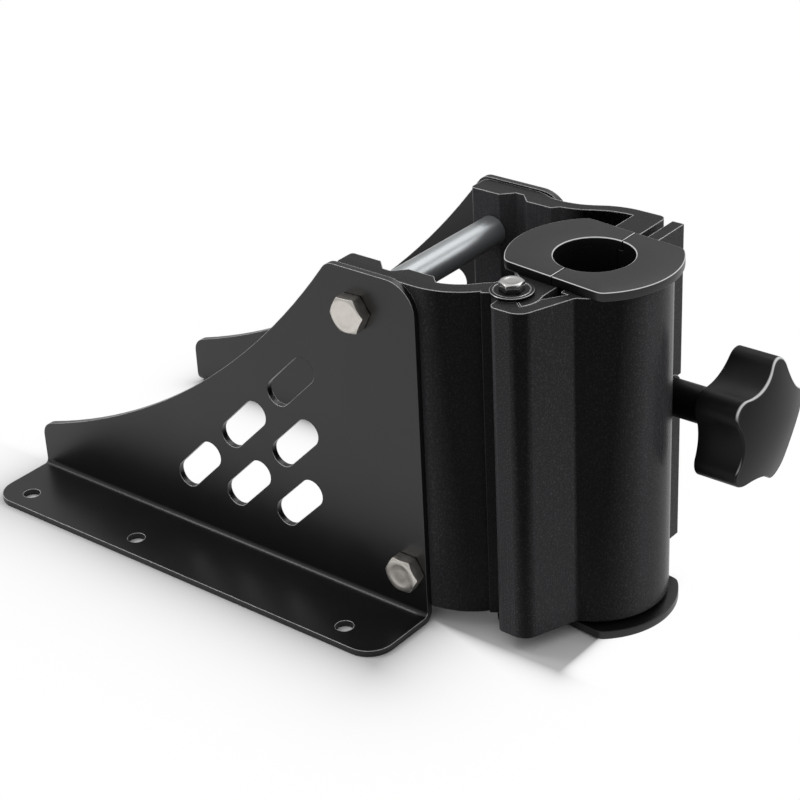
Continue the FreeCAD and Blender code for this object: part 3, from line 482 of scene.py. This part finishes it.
def moulded_plastic(name, tone, highlight_tone, roughness, level, grain_size, relief):
    """A black plastic: a clouded tone, a fine mould texture, and a painted pale highlight on rims that look
    up.
    """
    material, made, shader, place = start_finish(name)
    edges, grain, dust = black_skin(made, place, 0.0003, 0.2, grain_size, 0.3, 0.03)
    low, high = (tuple(v * (1 + way * CLOUDING) for v in tone) for way in (-1, 1))
    upward = parts(made, add(made, "ShaderNodeNewGeometry").outputs["Normal"])["Z"]
    rounded = add(made, "ShaderNodeAttribute", attribute_name="rim").outputs["Fac"]
    # painted highlight: a pale line on marked roundings that look up
    rim = product(made, rounded, spread(made, upward, 0.1, 0.4))
    colour = coats(made, blend_colour(made, grain["Cloud"], low, high),
                   (grain["Speck"], 0.2, (0.03, 0.03, 0.031)), (rim, 0.9, highlight_tone), (dust, 1, DUST))
    rough = spread(made, grain["Cloud"], 0.0, 1.0, roughness - 0.03, roughness + 0.03)
    rough = maths(made, "SUBTRACT", rough, product(made, edges["Edge"], 0.18))
    feed(made, shader, Base_Color=colour, Roughness=rough, Specular_IOR_Level=level,
         Normal=raised(made, grain["Height"], edges["Normal"], relief, 0.00004))
    return material


bushing_nylon = moulded_plastic("bushing_nylon", (0.0045, 0.0045, 0.0048), (0.95, 0.95, 0.96),
                                roughness=0.36, level=0.42, grain_size=3200.0, relief=0.10)
knob_plastic = moulded_plastic("knob_plastic", (0.0032, 0.0032, 0.0034), (0.85, 0.85, 0.86),
                               roughness=0.40, level=0.17, grain_size=2600.0, relief=0.12)
print("finishes", bushing_nylon.name, knob_plastic.name)

# %% [markdown]
# ### Steel, brass and the blackened washers
# The bolts are stainless steel, a little warm, turned and then rolled. The cross rods are ground, polished
# and plated; the plating is slightly milky, so they are a little less than fully metallic. The washers are
# blackened, and paler at the rim. The knob's insert is brass. All of them are paler along their eased edges
# and carry turning marks; only the tone, the polish and the marks differ.

# %% Metals
def turned_metal(name, tone, pale_edge_tone, roughness, rings, relief, pale_edge_share=0.6, smudges=0.3, metallic=1.0):
    """A turned metal: fine rings in tone, roughness and height, and brighter eased edges."""
    material, made, shader, place = start_finish(name)
    edges = use_group(made, eased_edges, {"Vector": place, "Radius": 0.00025, "Breakup": 0.35})
    marks = use_group(made, turning_marks, {"Rings per mm": rings, "Waver": 0.8})
    rounded = add(made, "ShaderNodeAttribute", attribute_name="rim").outputs["Fac"]
    colour = blend_colour(made, marks["Streak"], tuple(v * 0.86 for v in tone), tone)
    # paler along the eased edges and the marked rims
    colour = coats(made, colour, (maths(made, "MAXIMUM", edges["Edge"], rounded), pale_edge_share, pale_edge_tone))
    rough = spread(made, noise(made, place, 380.0, 5.0, 0.65), 0.3, 0.7,
                   roughness * (1 - smudges), roughness * (1 + smudges))
    rough = maths(made, "ADD", rough, product(made, marks["Streak"], roughness * 0.3))
    feed(made, shader, Base_Color=colour, Roughness=rough, Metallic=metallic,
         Normal=raised(made, marks["Height"], edges["Normal"], relief, 0.00002))
    return material


bolt_steel = turned_metal("stainless_bolt", (0.70, 0.665, 0.62), (0.92, 0.89, 0.84),
                          roughness=0.36, rings=5.0, relief=0.08)
screw_steel = turned_metal("bright_screw", (0.62, 0.61, 0.60), (0.95, 0.94, 0.93),
                           roughness=0.17, rings=4.0, relief=0.05, smudges=0.15)
rod_steel = turned_metal("polished_rod", (0.43, 0.45, 0.46), (0.80, 0.82, 0.83),
                         roughness=0.29, rings=9.0, relief=0.02, smudges=0.05, metallic=0.75)
washer_steel = turned_metal("blackened_washer", (0.012, 0.012, 0.0125), (0.70, 0.70, 0.70),
                            roughness=0.30, rings=7.0, relief=0.25, pale_edge_share=0.9)
insert_brass = turned_metal("turned_brass", (0.62, 0.44, 0.17), (0.82, 0.66, 0.34),
                            roughness=0.28, rings=5.0, relief=0.35)
print("finishes", [m.name for m in (bolt_steel, screw_steel, rod_steel, washer_steel, insert_brass)])

# %% [markdown]
# ## The sheets and the extrusions
# These shapes are right as they come from the CAD model, so they keep their meshes and only get their
# finish.

# %% Finishes for the kept pieces
KEPT = {"near_bracket": bracket_coat, "far_bracket": bracket_coat, "channel": extrusion,
        "clamp_door": extrusion}
for name, finish in KEPT.items():
    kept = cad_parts[name]
    kept.data.materials.clear()
    kept.data.materials.append(finish)
print("kept:", sorted(KEPT))

# %% [markdown]
# ## Surfaces from formulas
# The other pieces are surfaces with two parameters. A grid of points is computed at once and its neighbours
# are joined with quads; that is a shell. Equal points are then merged, so that seams and poles are closed,
# and the normals are made to point outwards.
# A shell is (points, faces, marks). Faces are arrays of corner numbers, one polygon to a row. The marks of a
# point are its two places in the turned pattern and how much it belongs to a rounded rim.

# %% Helpers: shells
def quads(rows, columns, close_rows=False, close_columns=True):
    """Corner numbers of the quads of a grid. A closed side joins its last line to its first."""
    r = np.arange(rows if close_rows else rows - 1)
    c = np.arange(columns if close_columns else columns - 1)
    r, c = (a.ravel() for a in np.meshgrid(r, c, indexing="ij"))
    r_next, c_next = (r + 1) % rows, (c + 1) % columns
    return np.stack([r * columns + c, r * columns + c_next, r_next * columns + c_next,
                     r_next * columns + c], 1)


def turns(steps):
    """Equal angles round a full circle."""
    return np.linspace(0, 2 * math.pi, steps, endpoint=False)


def outline_length(radius, height):
    """Distance along an outline to each of its points, in millimetres."""
    return np.concatenate([[0.0], np.cumsum(np.hypot(np.diff(radius), np.diff(height)))]) * 1000


def round_shell(radius, height, rounded=0.0, up=None, ring=False):
    """x = radius cos(turn), y = radius sin(turn), z = height, for arrays of rows by turns. A ring's rows are
    closed; any other shell starts and ends on the axis."""
    radius, height = np.broadcast_arrays(radius, height)
    rows, steps = radius.shape
    turn = turns(steps)
    if up is None:
        up = outline_length(radius.mean(1), height.mean(1))[:, None]
    points = np.stack([radius * np.cos(turn), radius * np.sin(turn), height], -1)
    marks = np.stack(np.broadcast_arrays(turn / (2 * math.pi), up, rounded, radius)[:3], -1)
    return points.reshape(-1, 3), [quads(rows, steps, close_rows=ring)], marks.reshape(-1, 3)


def stack_rows(rows, steps):
    """Arrays of rows by turns, from rows whose entries are a number or one number for each turn."""
    return [np.array([np.broadcast_to(entry, steps) for entry in column], float) for column in zip(*rows)]


def placed(shells, place, turn=(0, 0, 0)):
    """Turns shells about X, Y and Z by degrees, then moves them."""
    matrix = np.array(Euler([math.radians(v) for v in turn], "XYZ").to_matrix())
    return [(points @ matrix.T + np.array(place), faces, marks) for points, faces, marks in shells]


print("shell helpers ready")

# %% [markdown]
# `make_piece` joins shells into one object, stores their marks as a UV map and a point attribute, parents
# it to the body it rides on, hides the CAD node it stands for and gives it its finish. Faces
# that meet at more than 32 degrees keep a sharp edge between them.

# %% Helper: shells to a piece
def make_piece(name, node, shells, finish, body, sharp_degrees=32.0):
    """One object from several shells, in place of the CAD model's `node`."""
    starts = np.cumsum([0] + [len(points) for points, _, _ in shells])
    points, marks = (np.concatenate([shell[part] for shell in shells]) for part in (0, 2))
    faces = [face for (_, blocks, _), start in zip(shells, starts)
             for block in blocks for face in (block + start).tolist()]
    mesh = bpy.data.meshes.new(name)
    mesh.from_pydata(points, [], faces)
    corner = np.zeros(len(mesh.loops), np.int32)
    mesh.loops.foreach_get("vertex_index", corner)
    pattern = mesh.uv_layers.new(name="turned")
    pattern.data.foreach_set("uv", marks[corner, :2].astype(np.float32).ravel())
    rim = mesh.attributes.new("rim", "FLOAT", "POINT")
    rim.data.foreach_set("value", marks[:, 2].astype(np.float32))
    work = bmesh.new()
    work.from_mesh(mesh)
    bmesh.ops.remove_doubles(work, verts=work.verts, dist=1e-6)
    bmesh.ops.dissolve_degenerate(work, dist=1e-7, edges=work.edges)
    bmesh.ops.recalc_face_normals(work, faces=work.faces)
    work.to_mesh(mesh)
    work.free()
    mesh.polygons.foreach_set("use_smooth", np.ones(len(mesh.polygons), bool))
    mesh.set_sharp_from_angle(angle=math.radians(sharp_degrees))
    mesh.materials.append(finish)
    piece = bpy.data.objects.new(name, mesh)
    bpy.context.scene.collection.objects.link(piece)
    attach(piece, body)
    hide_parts(node)
    print(f"{name}: {len(mesh.vertices)} points, {len(mesh.polygons)} faces")


print("pieces can be made")

# %% [markdown]
# ### Turned pieces
# A turned piece is a profile carried round an axis: each point of the profile keeps its height and draws a
# circle of its radius. Small steps in the profile are the chamfers that the lathe leaves.

# %% Helper: a turned shell
def turned_shell(profile, steps=96, ring=False):
    """Carries a profile of (radius, height) and, where given, how rounded it is there, round the axis."""
    profile = np.asarray(profile, float)
    profile = np.pad(profile, ((0, 0), (0, 3 - profile.shape[1])))
    radius, height, rounded = np.repeat(profile.T[:, :, None], steps, 2)
    return round_shell(radius, height, rounded, ring=ring)


print("turned shells can be made")

# %% [markdown]
# The hinge is closed by a blackened washer at each end, and another lies under the knob. A washer's rim is
# eased and its top has a shallow groove. The rim and the groove's outer edge are paler, which the
# profile's third number marks.

# %% Washers
HINGE_X, HINGE_Y = 0.1357, -0.0313
HINGE_TOP, HINGE_LOW = 0.1368, 0.0059
KNOB_Y, KNOB_Z = 0.0392, 0.07135
WASHER_THICK, GROOVE_DEEP = 0.0012, 0.00012


def washer(outer, inner, ease):
    """A closed outline: up the bore, over the grooved top and the eased rim, and back underneath."""
    a = np.radians(np.linspace(90, 0, 6))
    top, low, half = WASHER_THICK, WASHER_THICK - GROOVE_DEEP, ease / 2
    inner_top = [(inner, top - half, 0), (inner + half, top, 0)]
    groove = [(0.800 * outer, top, 0), (0.815 * outer, low, 0), (0.840 * outer, low, 0.6),
              (0.855 * outer, top, 0)]
    top_rim = np.stack([outer - ease + ease * np.cos(a), top - ease + ease * np.sin(a),
                        (0, 0.4, 0.8, 0.4, 0, 0)], 1)
    low_rim = np.stack([outer - half + half * np.cos(a[::-1]), half - half * np.sin(a[::-1]), 0 * a], 1)
    inner_low = [(inner + ease / 3, 0, 0), (inner, ease / 3, 0)]
    return [turned_shell(np.concatenate([inner_top, groove, top_rim, low_rim, inner_low]), ring=True)]


def on_knob_axis(shells, x):
    """Turns shells to point outboard along the stud and starts them at x."""
    return placed(shells, (x, KNOB_Y, KNOB_Z), (0, 90, 0))


hinge_washer = washer(outer=0.0078, inner=0.00255, ease=0.00035)
for end, z, turn in (("top", HINGE_TOP, 0), ("bottom", HINGE_LOW, 180)):
    make_piece(f"hinge_washer_{end}_turned", f"hinge_washer_{end}",
               placed(hinge_washer, (HINGE_X, HINGE_Y, z), (turn, 0, 0)), washer_steel, "door")
knob_washer = on_knob_axis(washer(outer=0.0080, inner=0.00408, ease=0.0003), 0.1543)
make_piece("knob_washer_turned", "knob_washer", knob_washer, washer_steel, "knob_seat")

# %% [markdown]
# ### Threads
# A thread is a ridge that climbs by one pitch for each turn. On a grid of heights and turns, the radius
# depends only on `height / pitch - turn`, so the whole helix is one formula: a triangle wave with flat
# crests and roots. At the ends the ridge fades into a chamfer, where the die starts.

# %% Helper: a threaded shell
THREAD_DEPTH = 0.58  # share of the pitch


def threaded_shell(radius, pitch, low, high, ease, steps=48, rows_per_pitch=10):
    """radius(z, turn) = radius - depth * wave(z / pitch - turn), cut down to a cone at both ends, and
    closed with a disc at each end."""
    rows = int(math.ceil((high - low) / pitch * rows_per_pitch)) + 1
    z = np.linspace(low, high, rows)[:, None]
    phase = (z / pitch - np.linspace(0, 1, steps, endpoint=False)) % 1.0
    wave = np.clip(np.abs(phase - 0.5) * 2.6 - 0.3, 0, 1)
    cone = radius - ease + np.minimum(z - low, high - z)
    ridge = np.minimum(radius - THREAD_DEPTH * pitch * wave, cone)
    z = np.pad(z, ((1, 1), (0, 0)), mode="edge")
    return round_shell(np.pad(ridge, ((1, 1), (0, 0))), z, up=z * 1000)


print("threads can be made, depth", THREAD_DEPTH, "of the pitch")

# %% [markdown]
# ### Hexagon-head bolts
# A hexagon head is forged, then its top corners are turned to a cone, which leaves the curved lines where
# the cone meets the six flats. On a polar grid the head's outline is the hexagon's radius at each angle,
# and each height is the lower of the flat top and the cone. Under the head is a thin round bearing face.
# The heads are left plain.

# %% Helper: a bolt
CORNER_SLOPE = math.tan(math.radians(30))


def hexagon_radius(turn, flats, crispness=44.0):
    """Radius of a hexagon at each angle, from the three pairs of flats; the power rounds the corners."""
    sides = [np.abs(np.cos(turn - math.radians(60 * k))) ** crispness for k in range(3)]
    return flats / 2 / np.sum(sides, 0) ** (1 / crispness)


def bolt_shells(flats, head, across, length, pitch, steps=120):
    """Head and threaded shank of a bolt that points down, its head standing on z = 0. The rows go from the
    dished crown over the cone and down the flats, then in under the bearing face."""
    outline = hexagon_radius(turns(steps) - math.radians(30), flats)
    crown, dish, drop, base = 0.475 * flats, 0.035 * head, 0.012 * head, 0.06 * head
    rows = [(crown * share, head - down) for share, down in (
        (0.0, dish), (0.35, dish), (0.62, dish), (0.70, dish * 0.3), (0.76, 0), (0.97, 0), (1.0, drop))]
    for share in (0.25, 0.5, 0.75, 1.0):
        past = (outline - crown) * share
        rows.append((crown + past, head - drop - past * CORNER_SLOPE))
    rows += [(outline, base + 0.02 * head), (outline * 0.992, base), (crown, base), (crown, 0), (0, 0)]
    return [round_shell(*stack_rows(rows, steps)),
            threaded_shell(across / 2, pitch, -length, 0.0002, pitch * 0.6)]


print("bolts can be made")

# %% [markdown]
# Four M8 bolts hold the channel between the brackets, two on each side, screwed into the cross rods. Two
# small screws with an M5 thread hold the hinge's washers. The upper bolts and the screws are each turned a
# little.

# %% Bolts and hinge screws
WEB_FACE = 0.0477
ROD_AT = {"upper": (0.0790, 0.1213), "lower": (0.0979, 0.0203)}  # X and Z of the rods and their bolts
BOLT_ROLL, SCREW_ROLL = {"upper": 4, "lower": 0}, -20  # degrees

frame_bolt = bolt_shells(flats=0.013, head=0.0053, across=0.008, length=0.025, pitch=0.00125)
for side, tilt, y in (("near", 90, -WEB_FACE), ("far", -90, WEB_FACE)):
    for level, (x, z) in ROD_AT.items():
        rolled = placed(frame_bolt, (0, 0, 0), (0, 0, BOLT_ROLL[level]))
        bolt = placed(rolled, (x, y, z), (tilt, 0, 0))
        make_piece(f"{side}_{level}_bolt_turned", f"{side}_{level}_bolt", bolt, bolt_steel, "frame")

hinge_screw = placed(bolt_shells(flats=0.008, head=0.0033, across=0.005, length=0.016, pitch=0.0008),
                     (0, 0, 0), (0, 0, SCREW_ROLL))
for end, z, turn in (("top", HINGE_TOP + WASHER_THICK, 0), ("bottom", HINGE_LOW - WASHER_THICK, 180)):
    screw = placed(hinge_screw, (HINGE_X, HINGE_Y, z), (turn, 0, 0))
    make_piece(f"hinge_screw_{end}", f"hinge_bolt_{end}", screw, screw_steel, "door")

# %% [markdown]
# ### Cross rods
# Each rod is ground bar, turned to length, with a chamfer and a tapped hole at both ends. Its profile is
# drawn for one end and mirrored for the other.

# %% Cross rods
def rod_profile(radius, half, chamfer, hole, depth, countersink=0.0004):
    """From the floor of one tapped hole, out over the end, along the bar and into the other hole."""
    one = np.array([(0, half - depth), (hole, half - depth), (hole, half - countersink),
                    (hole + countersink, half), (radius - chamfer, half), (radius, half - chamfer)])
    grip = np.array([(radius, z) for z in np.linspace(half - chamfer, -half + chamfer, 9)[1:-1]])
    return np.concatenate([one, grip, one[::-1] * (1, -1)])


rod = [turned_shell(rod_profile(radius=0.006, half=0.0352, chamfer=0.0008, hole=0.00405, depth=0.0165))]
for level, (x, z) in ROD_AT.items():
    make_piece(f"{level}_cross_rod_ground", f"{level}_cross_rod", placed(rod, (x, 0, z), (-90, 0, 0)),
               rod_steel, "frame")

# %% [markdown]
# ### The clamp's stud
# The stud is threaded bar, fixed in the channel's rear wall. It shows between the door and the knob once
# the knob is turned back.

# %% Stud
stud = threaded_shell(radius=0.004, pitch=0.00125, low=0.1345, high=0.1910, ease=0.0008)
make_piece("clamp_stud_threaded", "clamp_stud", on_knob_axis([stud], 0), bolt_steel, "frame")

# %% [markdown]
# ### Bushings
# Each half bushing is moulded: a half barrel between two flanges. The flange's rim is a circle with two
# flats, and a split runs across it, a little to the left of the shaft on one side and to the right on the
# other, so the halves interlock. Every point of a half is given by an angle round the shaft and a place on
# the cross-section; at each radius the angles simply start and stop where the split's plane is reached.

# %% Helper: a half ring
SHAFT_X, SHAFT_Y = 0.1460, 0.0032
BORE, BARREL, RIM, FLATS = 0.0144, 0.0215, 0.0312, 0.0230
FLATS_AT = math.radians(84.4)
# the pale line beside the split is a painted highlight
SPLIT_LINE = 0.004  # share of the half turn that the pale line beside the split takes


def flange_rim(turn, sharpness=60.0):
    """Radius of the flange at each angle: the smaller of a circle and two flats, blended where they meet by
    a power mean, 1 / r^p = 1 / circle^p + 1 / flat^p."""
    flat = FLATS / np.maximum(np.abs(np.cos(turn - FLATS_AT)), 0.05)
    return (RIM ** -sharpness + flat ** -sharpness) ** (-1 / sharpness)


def half_ring(section, near_x, far_x, split_rim=0.0, steps=97):
    """A closed cross-section carried round the shaft on the side of negative x.
    `section` holds (on the rim, radius or its change, height, how rounded): on the rim the radius is
    R(turn) + change. Each row's angles run from x = far_x, through 180 degrees, to x = near_x.
    `split_rim` marks the outer face's two edges along the split. The rows of that face are the ones whose
    height is furthest from the first row's."""
    on_rim, change, height, rounded = (np.array(column, float)[:, None] for column in zip(*section))
    ends = np.array([0, SPLIT_LINE, SPLIT_LINE + 0.0015])
    share = np.concatenate([ends, np.linspace(0.012, 0.988, steps - 6), 1 - ends[::-1]])
    radius = np.where(on_rim > 0, RIM, change)
    for _ in range(8):  # the rim's radius and its first and last angle depend on each other
        first = np.arccos(np.clip(far_x / radius[:, :1], -1, 1))
        last = 2 * math.pi - np.arccos(np.clip(near_x / radius[:, -1:], -1, 1))
        turn = first + (last - first) * share
        radius = np.where(on_rim > 0, flange_rim(turn) + change, change * np.ones_like(turn))
    x, y = radius * np.cos(turn), radius * np.sin(turn)
    x[:, 0], x[:, -1] = far_x, near_x
    points = np.stack(np.broadcast_arrays(x, y, height), -1)
    depth = np.abs(height - height[0])
    at_split = (np.minimum(share, 1 - share) < SPLIT_LINE + 0.001) & (depth == depth.max())
    rounded = np.maximum(rounded, split_rim * at_split)
    marks = np.stack(np.broadcast_arrays(share, height * 1000, rounded), -1)
    first_column = np.arange(len(section)) * steps
    faces = [quads(len(section), steps, close_rows=True, close_columns=False),
             np.stack([first_column, first_column[::-1] + steps - 1])]
    return points.reshape(-1, 3), faces, marks.reshape(-1, 3)


print("flange across the flats, mm:", 2000 * FLATS)

# %% [markdown]
# The two halves are one moulding, used twice and turned round. Its bore and its flange's outer edge are
# rounded, and these roundings are marked, so that a pale line is painted on them as a highlight where they
# look up. So are the inner half's edges along the split; the outer half's stay sharp and unmarked, and the
# gap beside them stays dark.

# %% Bushings
LOW_FACE, BARREL_LOW, BARREL_HIGH, TOP_FACE = 0.0006, 0.0043, 0.1365, 0.1402
FLANGE_THICK, RIM_EASE, BORE_EASE = 0.0034, 0.00035, 0.00045
SPLIT_STEP, SPLIT_GAP = 0.0022, 0.0004


def flange_section(outer_face, inner_face, barrel_end):
    """From the bore round over the outer face and the rim, back to the barrel. Heights go from the outer
    face, which shows, to the inner one."""
    way = math.copysign(1.0, inner_face - outer_face)
    # A quarter circle: how far it has gone one way, how far is left the other way, and its rim mark.
    arc = [(1 - math.cos(a), 1 - math.sin(a), math.sin(2 * a)) for a in np.radians(np.linspace(0, 90, 5))]
    bore_edge = [(0, BORE + BORE_EASE * gone, outer_face + way * BORE_EASE * left, on)
                 for gone, left, on in arc]
    face_edge = [(1, -RIM_EASE * left, outer_face + way * RIM_EASE * gone, on) for gone, left, on in arc]
    back_edge = [(1, -RIM_EASE * gone, inner_face - way * RIM_EASE * left, 0) for gone, left, _ in arc]
    return [(0, BORE, barrel_end, 0), *bore_edge, *face_edge, *back_edge, (0, BARREL, inner_face, 0),
            (0, BARREL, barrel_end, 0)]


def bushing_shells(split_rim):
    """One half: its top flange, its lower flange and its barrel."""
    half_gap = SPLIT_GAP / 2
    split = (-SPLIT_STEP - half_gap, SPLIT_STEP - half_gap, split_rim)
    return [half_ring(flange_section(TOP_FACE, TOP_FACE - FLANGE_THICK, BARREL_HIGH), *split),
            half_ring(flange_section(LOW_FACE, LOW_FACE + FLANGE_THICK, BARREL_LOW), *split),
            half_ring([(0, BORE, BARREL_LOW, 0), (0, BORE, BARREL_HIGH, 0), (0, BARREL, BARREL_HIGH, 0),
                       (0, BARREL, BARREL_LOW, 0)], -half_gap, -half_gap)]


for name, body, turn, split_rim in (("bushing_inner", "frame", 0, 1.0), ("bushing_outer", "door", 180, 0.0)):
    half = placed(bushing_shells(split_rim), (SHAFT_X, SHAFT_Y, 0), (0, 0, turn))
    make_piece(f"{name}_moulded", name, half, bushing_nylon, body)

# %% [markdown]
# ### The star knob
# The knob's outline is five round lobes joined by five round hollows, all true arcs that touch. In polar
# form each is one line of algebra: the far crossing of a ray with the lobe's circle, or the near crossing
# with the hollow's. The same outline, drawn in a little at the edges, is carried from the back face to the
# front one, which is a shallow dome.

# %% Helpers: the knob's outline and dome
LOBES, TIP, LOBE_ROUND, VALLEY_ROUND = 5, 0.0255, 0.0060, 0.0220
FIRST_LOBE = math.radians(19.0)
STEM, STEM_LONG, HEAD, CROWN = 0.0070, 0.0230, 0.0170, 0.0046


def star_radius(turn):
    """Radius of the star outline at each angle. With a circle of radius q whose centre is at c, a ray at the
    angle t from it crosses at c cos t + sqrt(q^2 - (c sin t)^2), and nearer with a minus."""
    step = 2 * math.pi / LOBES
    lobe_at = TIP - LOBE_ROUND
    reach = LOBE_ROUND + VALLEY_ROUND
    valley_at = lobe_at * math.cos(step / 2) + math.sqrt(reach ** 2 - (lobe_at * math.sin(step / 2)) ** 2)
    lobe_centre = np.array([lobe_at, 0])
    valley_centre = valley_at * np.array([math.cos(step / 2), math.sin(step / 2)])
    touch = lobe_centre + LOBE_ROUND / reach * (valley_centre - lobe_centre)
    from_lobe = (turn - FIRST_LOBE + step / 2) % step - step / 2
    from_valley = step / 2 - np.abs(from_lobe)
    lobe = lobe_at * np.cos(from_lobe) + np.sqrt(
        np.maximum(LOBE_ROUND ** 2 - (lobe_at * np.sin(from_lobe)) ** 2, 0))
    valley = valley_at * np.cos(from_valley) - np.sqrt(
        np.maximum(VALLEY_ROUND ** 2 - (valley_at * np.sin(from_valley)) ** 2, 0))
    return np.where(np.abs(from_lobe) < math.atan2(touch[1], touch[0]), lobe, valley)


def dome_height(radius):
    """Height of the domed face at a distance from the axis: a sphere through the crown and the tips."""
    sphere = (TIP ** 2 + CROWN ** 2) / (2 * CROWN)
    return STEM_LONG + HEAD + CROWN - sphere + np.sqrt(sphere ** 2 - radius ** 2)


print("knob across the tips, mm:", 2000 * TIP, "rise of the dome, mm:", 1000 * CROWN)

# %% [markdown]
# The knob's surface is one long row of outlines: out of the stud's hole, up the stem, over the back, round
# the rim and up the dome. Only the front edge's rounding is marked as a rim, and gets a painted pale
# highlight where it looks up.

# %% Knob
KNOB_START = 0.1558
HOLE_END, HOLE, SLEEVE_END, SLEEVE_SEAT, STEM_FACE = 0.0372, 0.0045, 0.0180, 0.00525, 0.0066


def knob_shell(steps=400, edge=0.0010, back_edge=0.0006, fillet=0.0012):
    """Rows from the blind end of the stud's hole, out over the stem's end, up the stem, over the back face,
    the rim and the dome to the middle of the front."""
    star = star_radius(turns(steps))
    arc = np.radians(np.linspace(0, 90, 6))
    inner_back, side_low = star - back_edge, STEM_LONG + back_edge
    top = dome_height(star - edge)
    rows = [(0, HOLE_END), (HOLE, HOLE_END), (HOLE, SLEEVE_END), (SLEEVE_SEAT, SLEEVE_END), (SLEEVE_SEAT, 0),
            (STEM_FACE, 0), (STEM, 0.0004), (STEM, STEM_LONG - fillet)]
    rows += [(STEM + fillet * (1 - math.cos(a)), STEM_LONG - fillet * (1 - math.sin(a))) for a in arc[1:]]
    rows += [((STEM + fillet) * (1 - s) + inner_back * s, STEM_LONG) for s in (0.35, 0.7, 1.0)]
    rows += [(inner_back + back_edge * math.sin(a), STEM_LONG + back_edge * (1 - math.cos(a)))
             for a in arc[1:]]
    rows += [(star, side_low + (top - edge - side_low) * s) for s in (0.33, 0.66)]
    rows = [(*row, 0) for row in rows]
    rows += [(star - edge * (1 - math.cos(a)), top - edge * (1 - math.sin(a)), math.sin(2 * a)) for a in arc]
    rows += [((star - edge) * s, dome_height((star - edge) * s), 0) for s in np.linspace(0.95, 0.05, 19)]
    rows += [(0, dome_height(0), 0)]
    return round_shell(*stack_rows(rows, steps))


knob = on_knob_axis([knob_shell()], KNOB_START)
make_piece("star_knob_moulded", "knob", knob, knob_plastic, "knob", sharp_degrees=40)

# %% [markdown]
# The stem's hole holds a brass sleeve with the thread that runs on the stud. Its end shows as a thin ring
# when the knob comes off.

# %% Insert
sleeve = turned_shell([(0.00408, 0.0003), (0.0044, 0.0), (0.0050, 0.0), (0.0052, 0.0002), (0.0052, 0.0178),
                       (0.0050, 0.0180), (0.0044, 0.0180), (0.00408, 0.0177)], 72, ring=True)
make_piece("knob_insert_turned", "knob_insert", on_knob_axis([sleeve], KNOB_START), insert_brass, "knob")
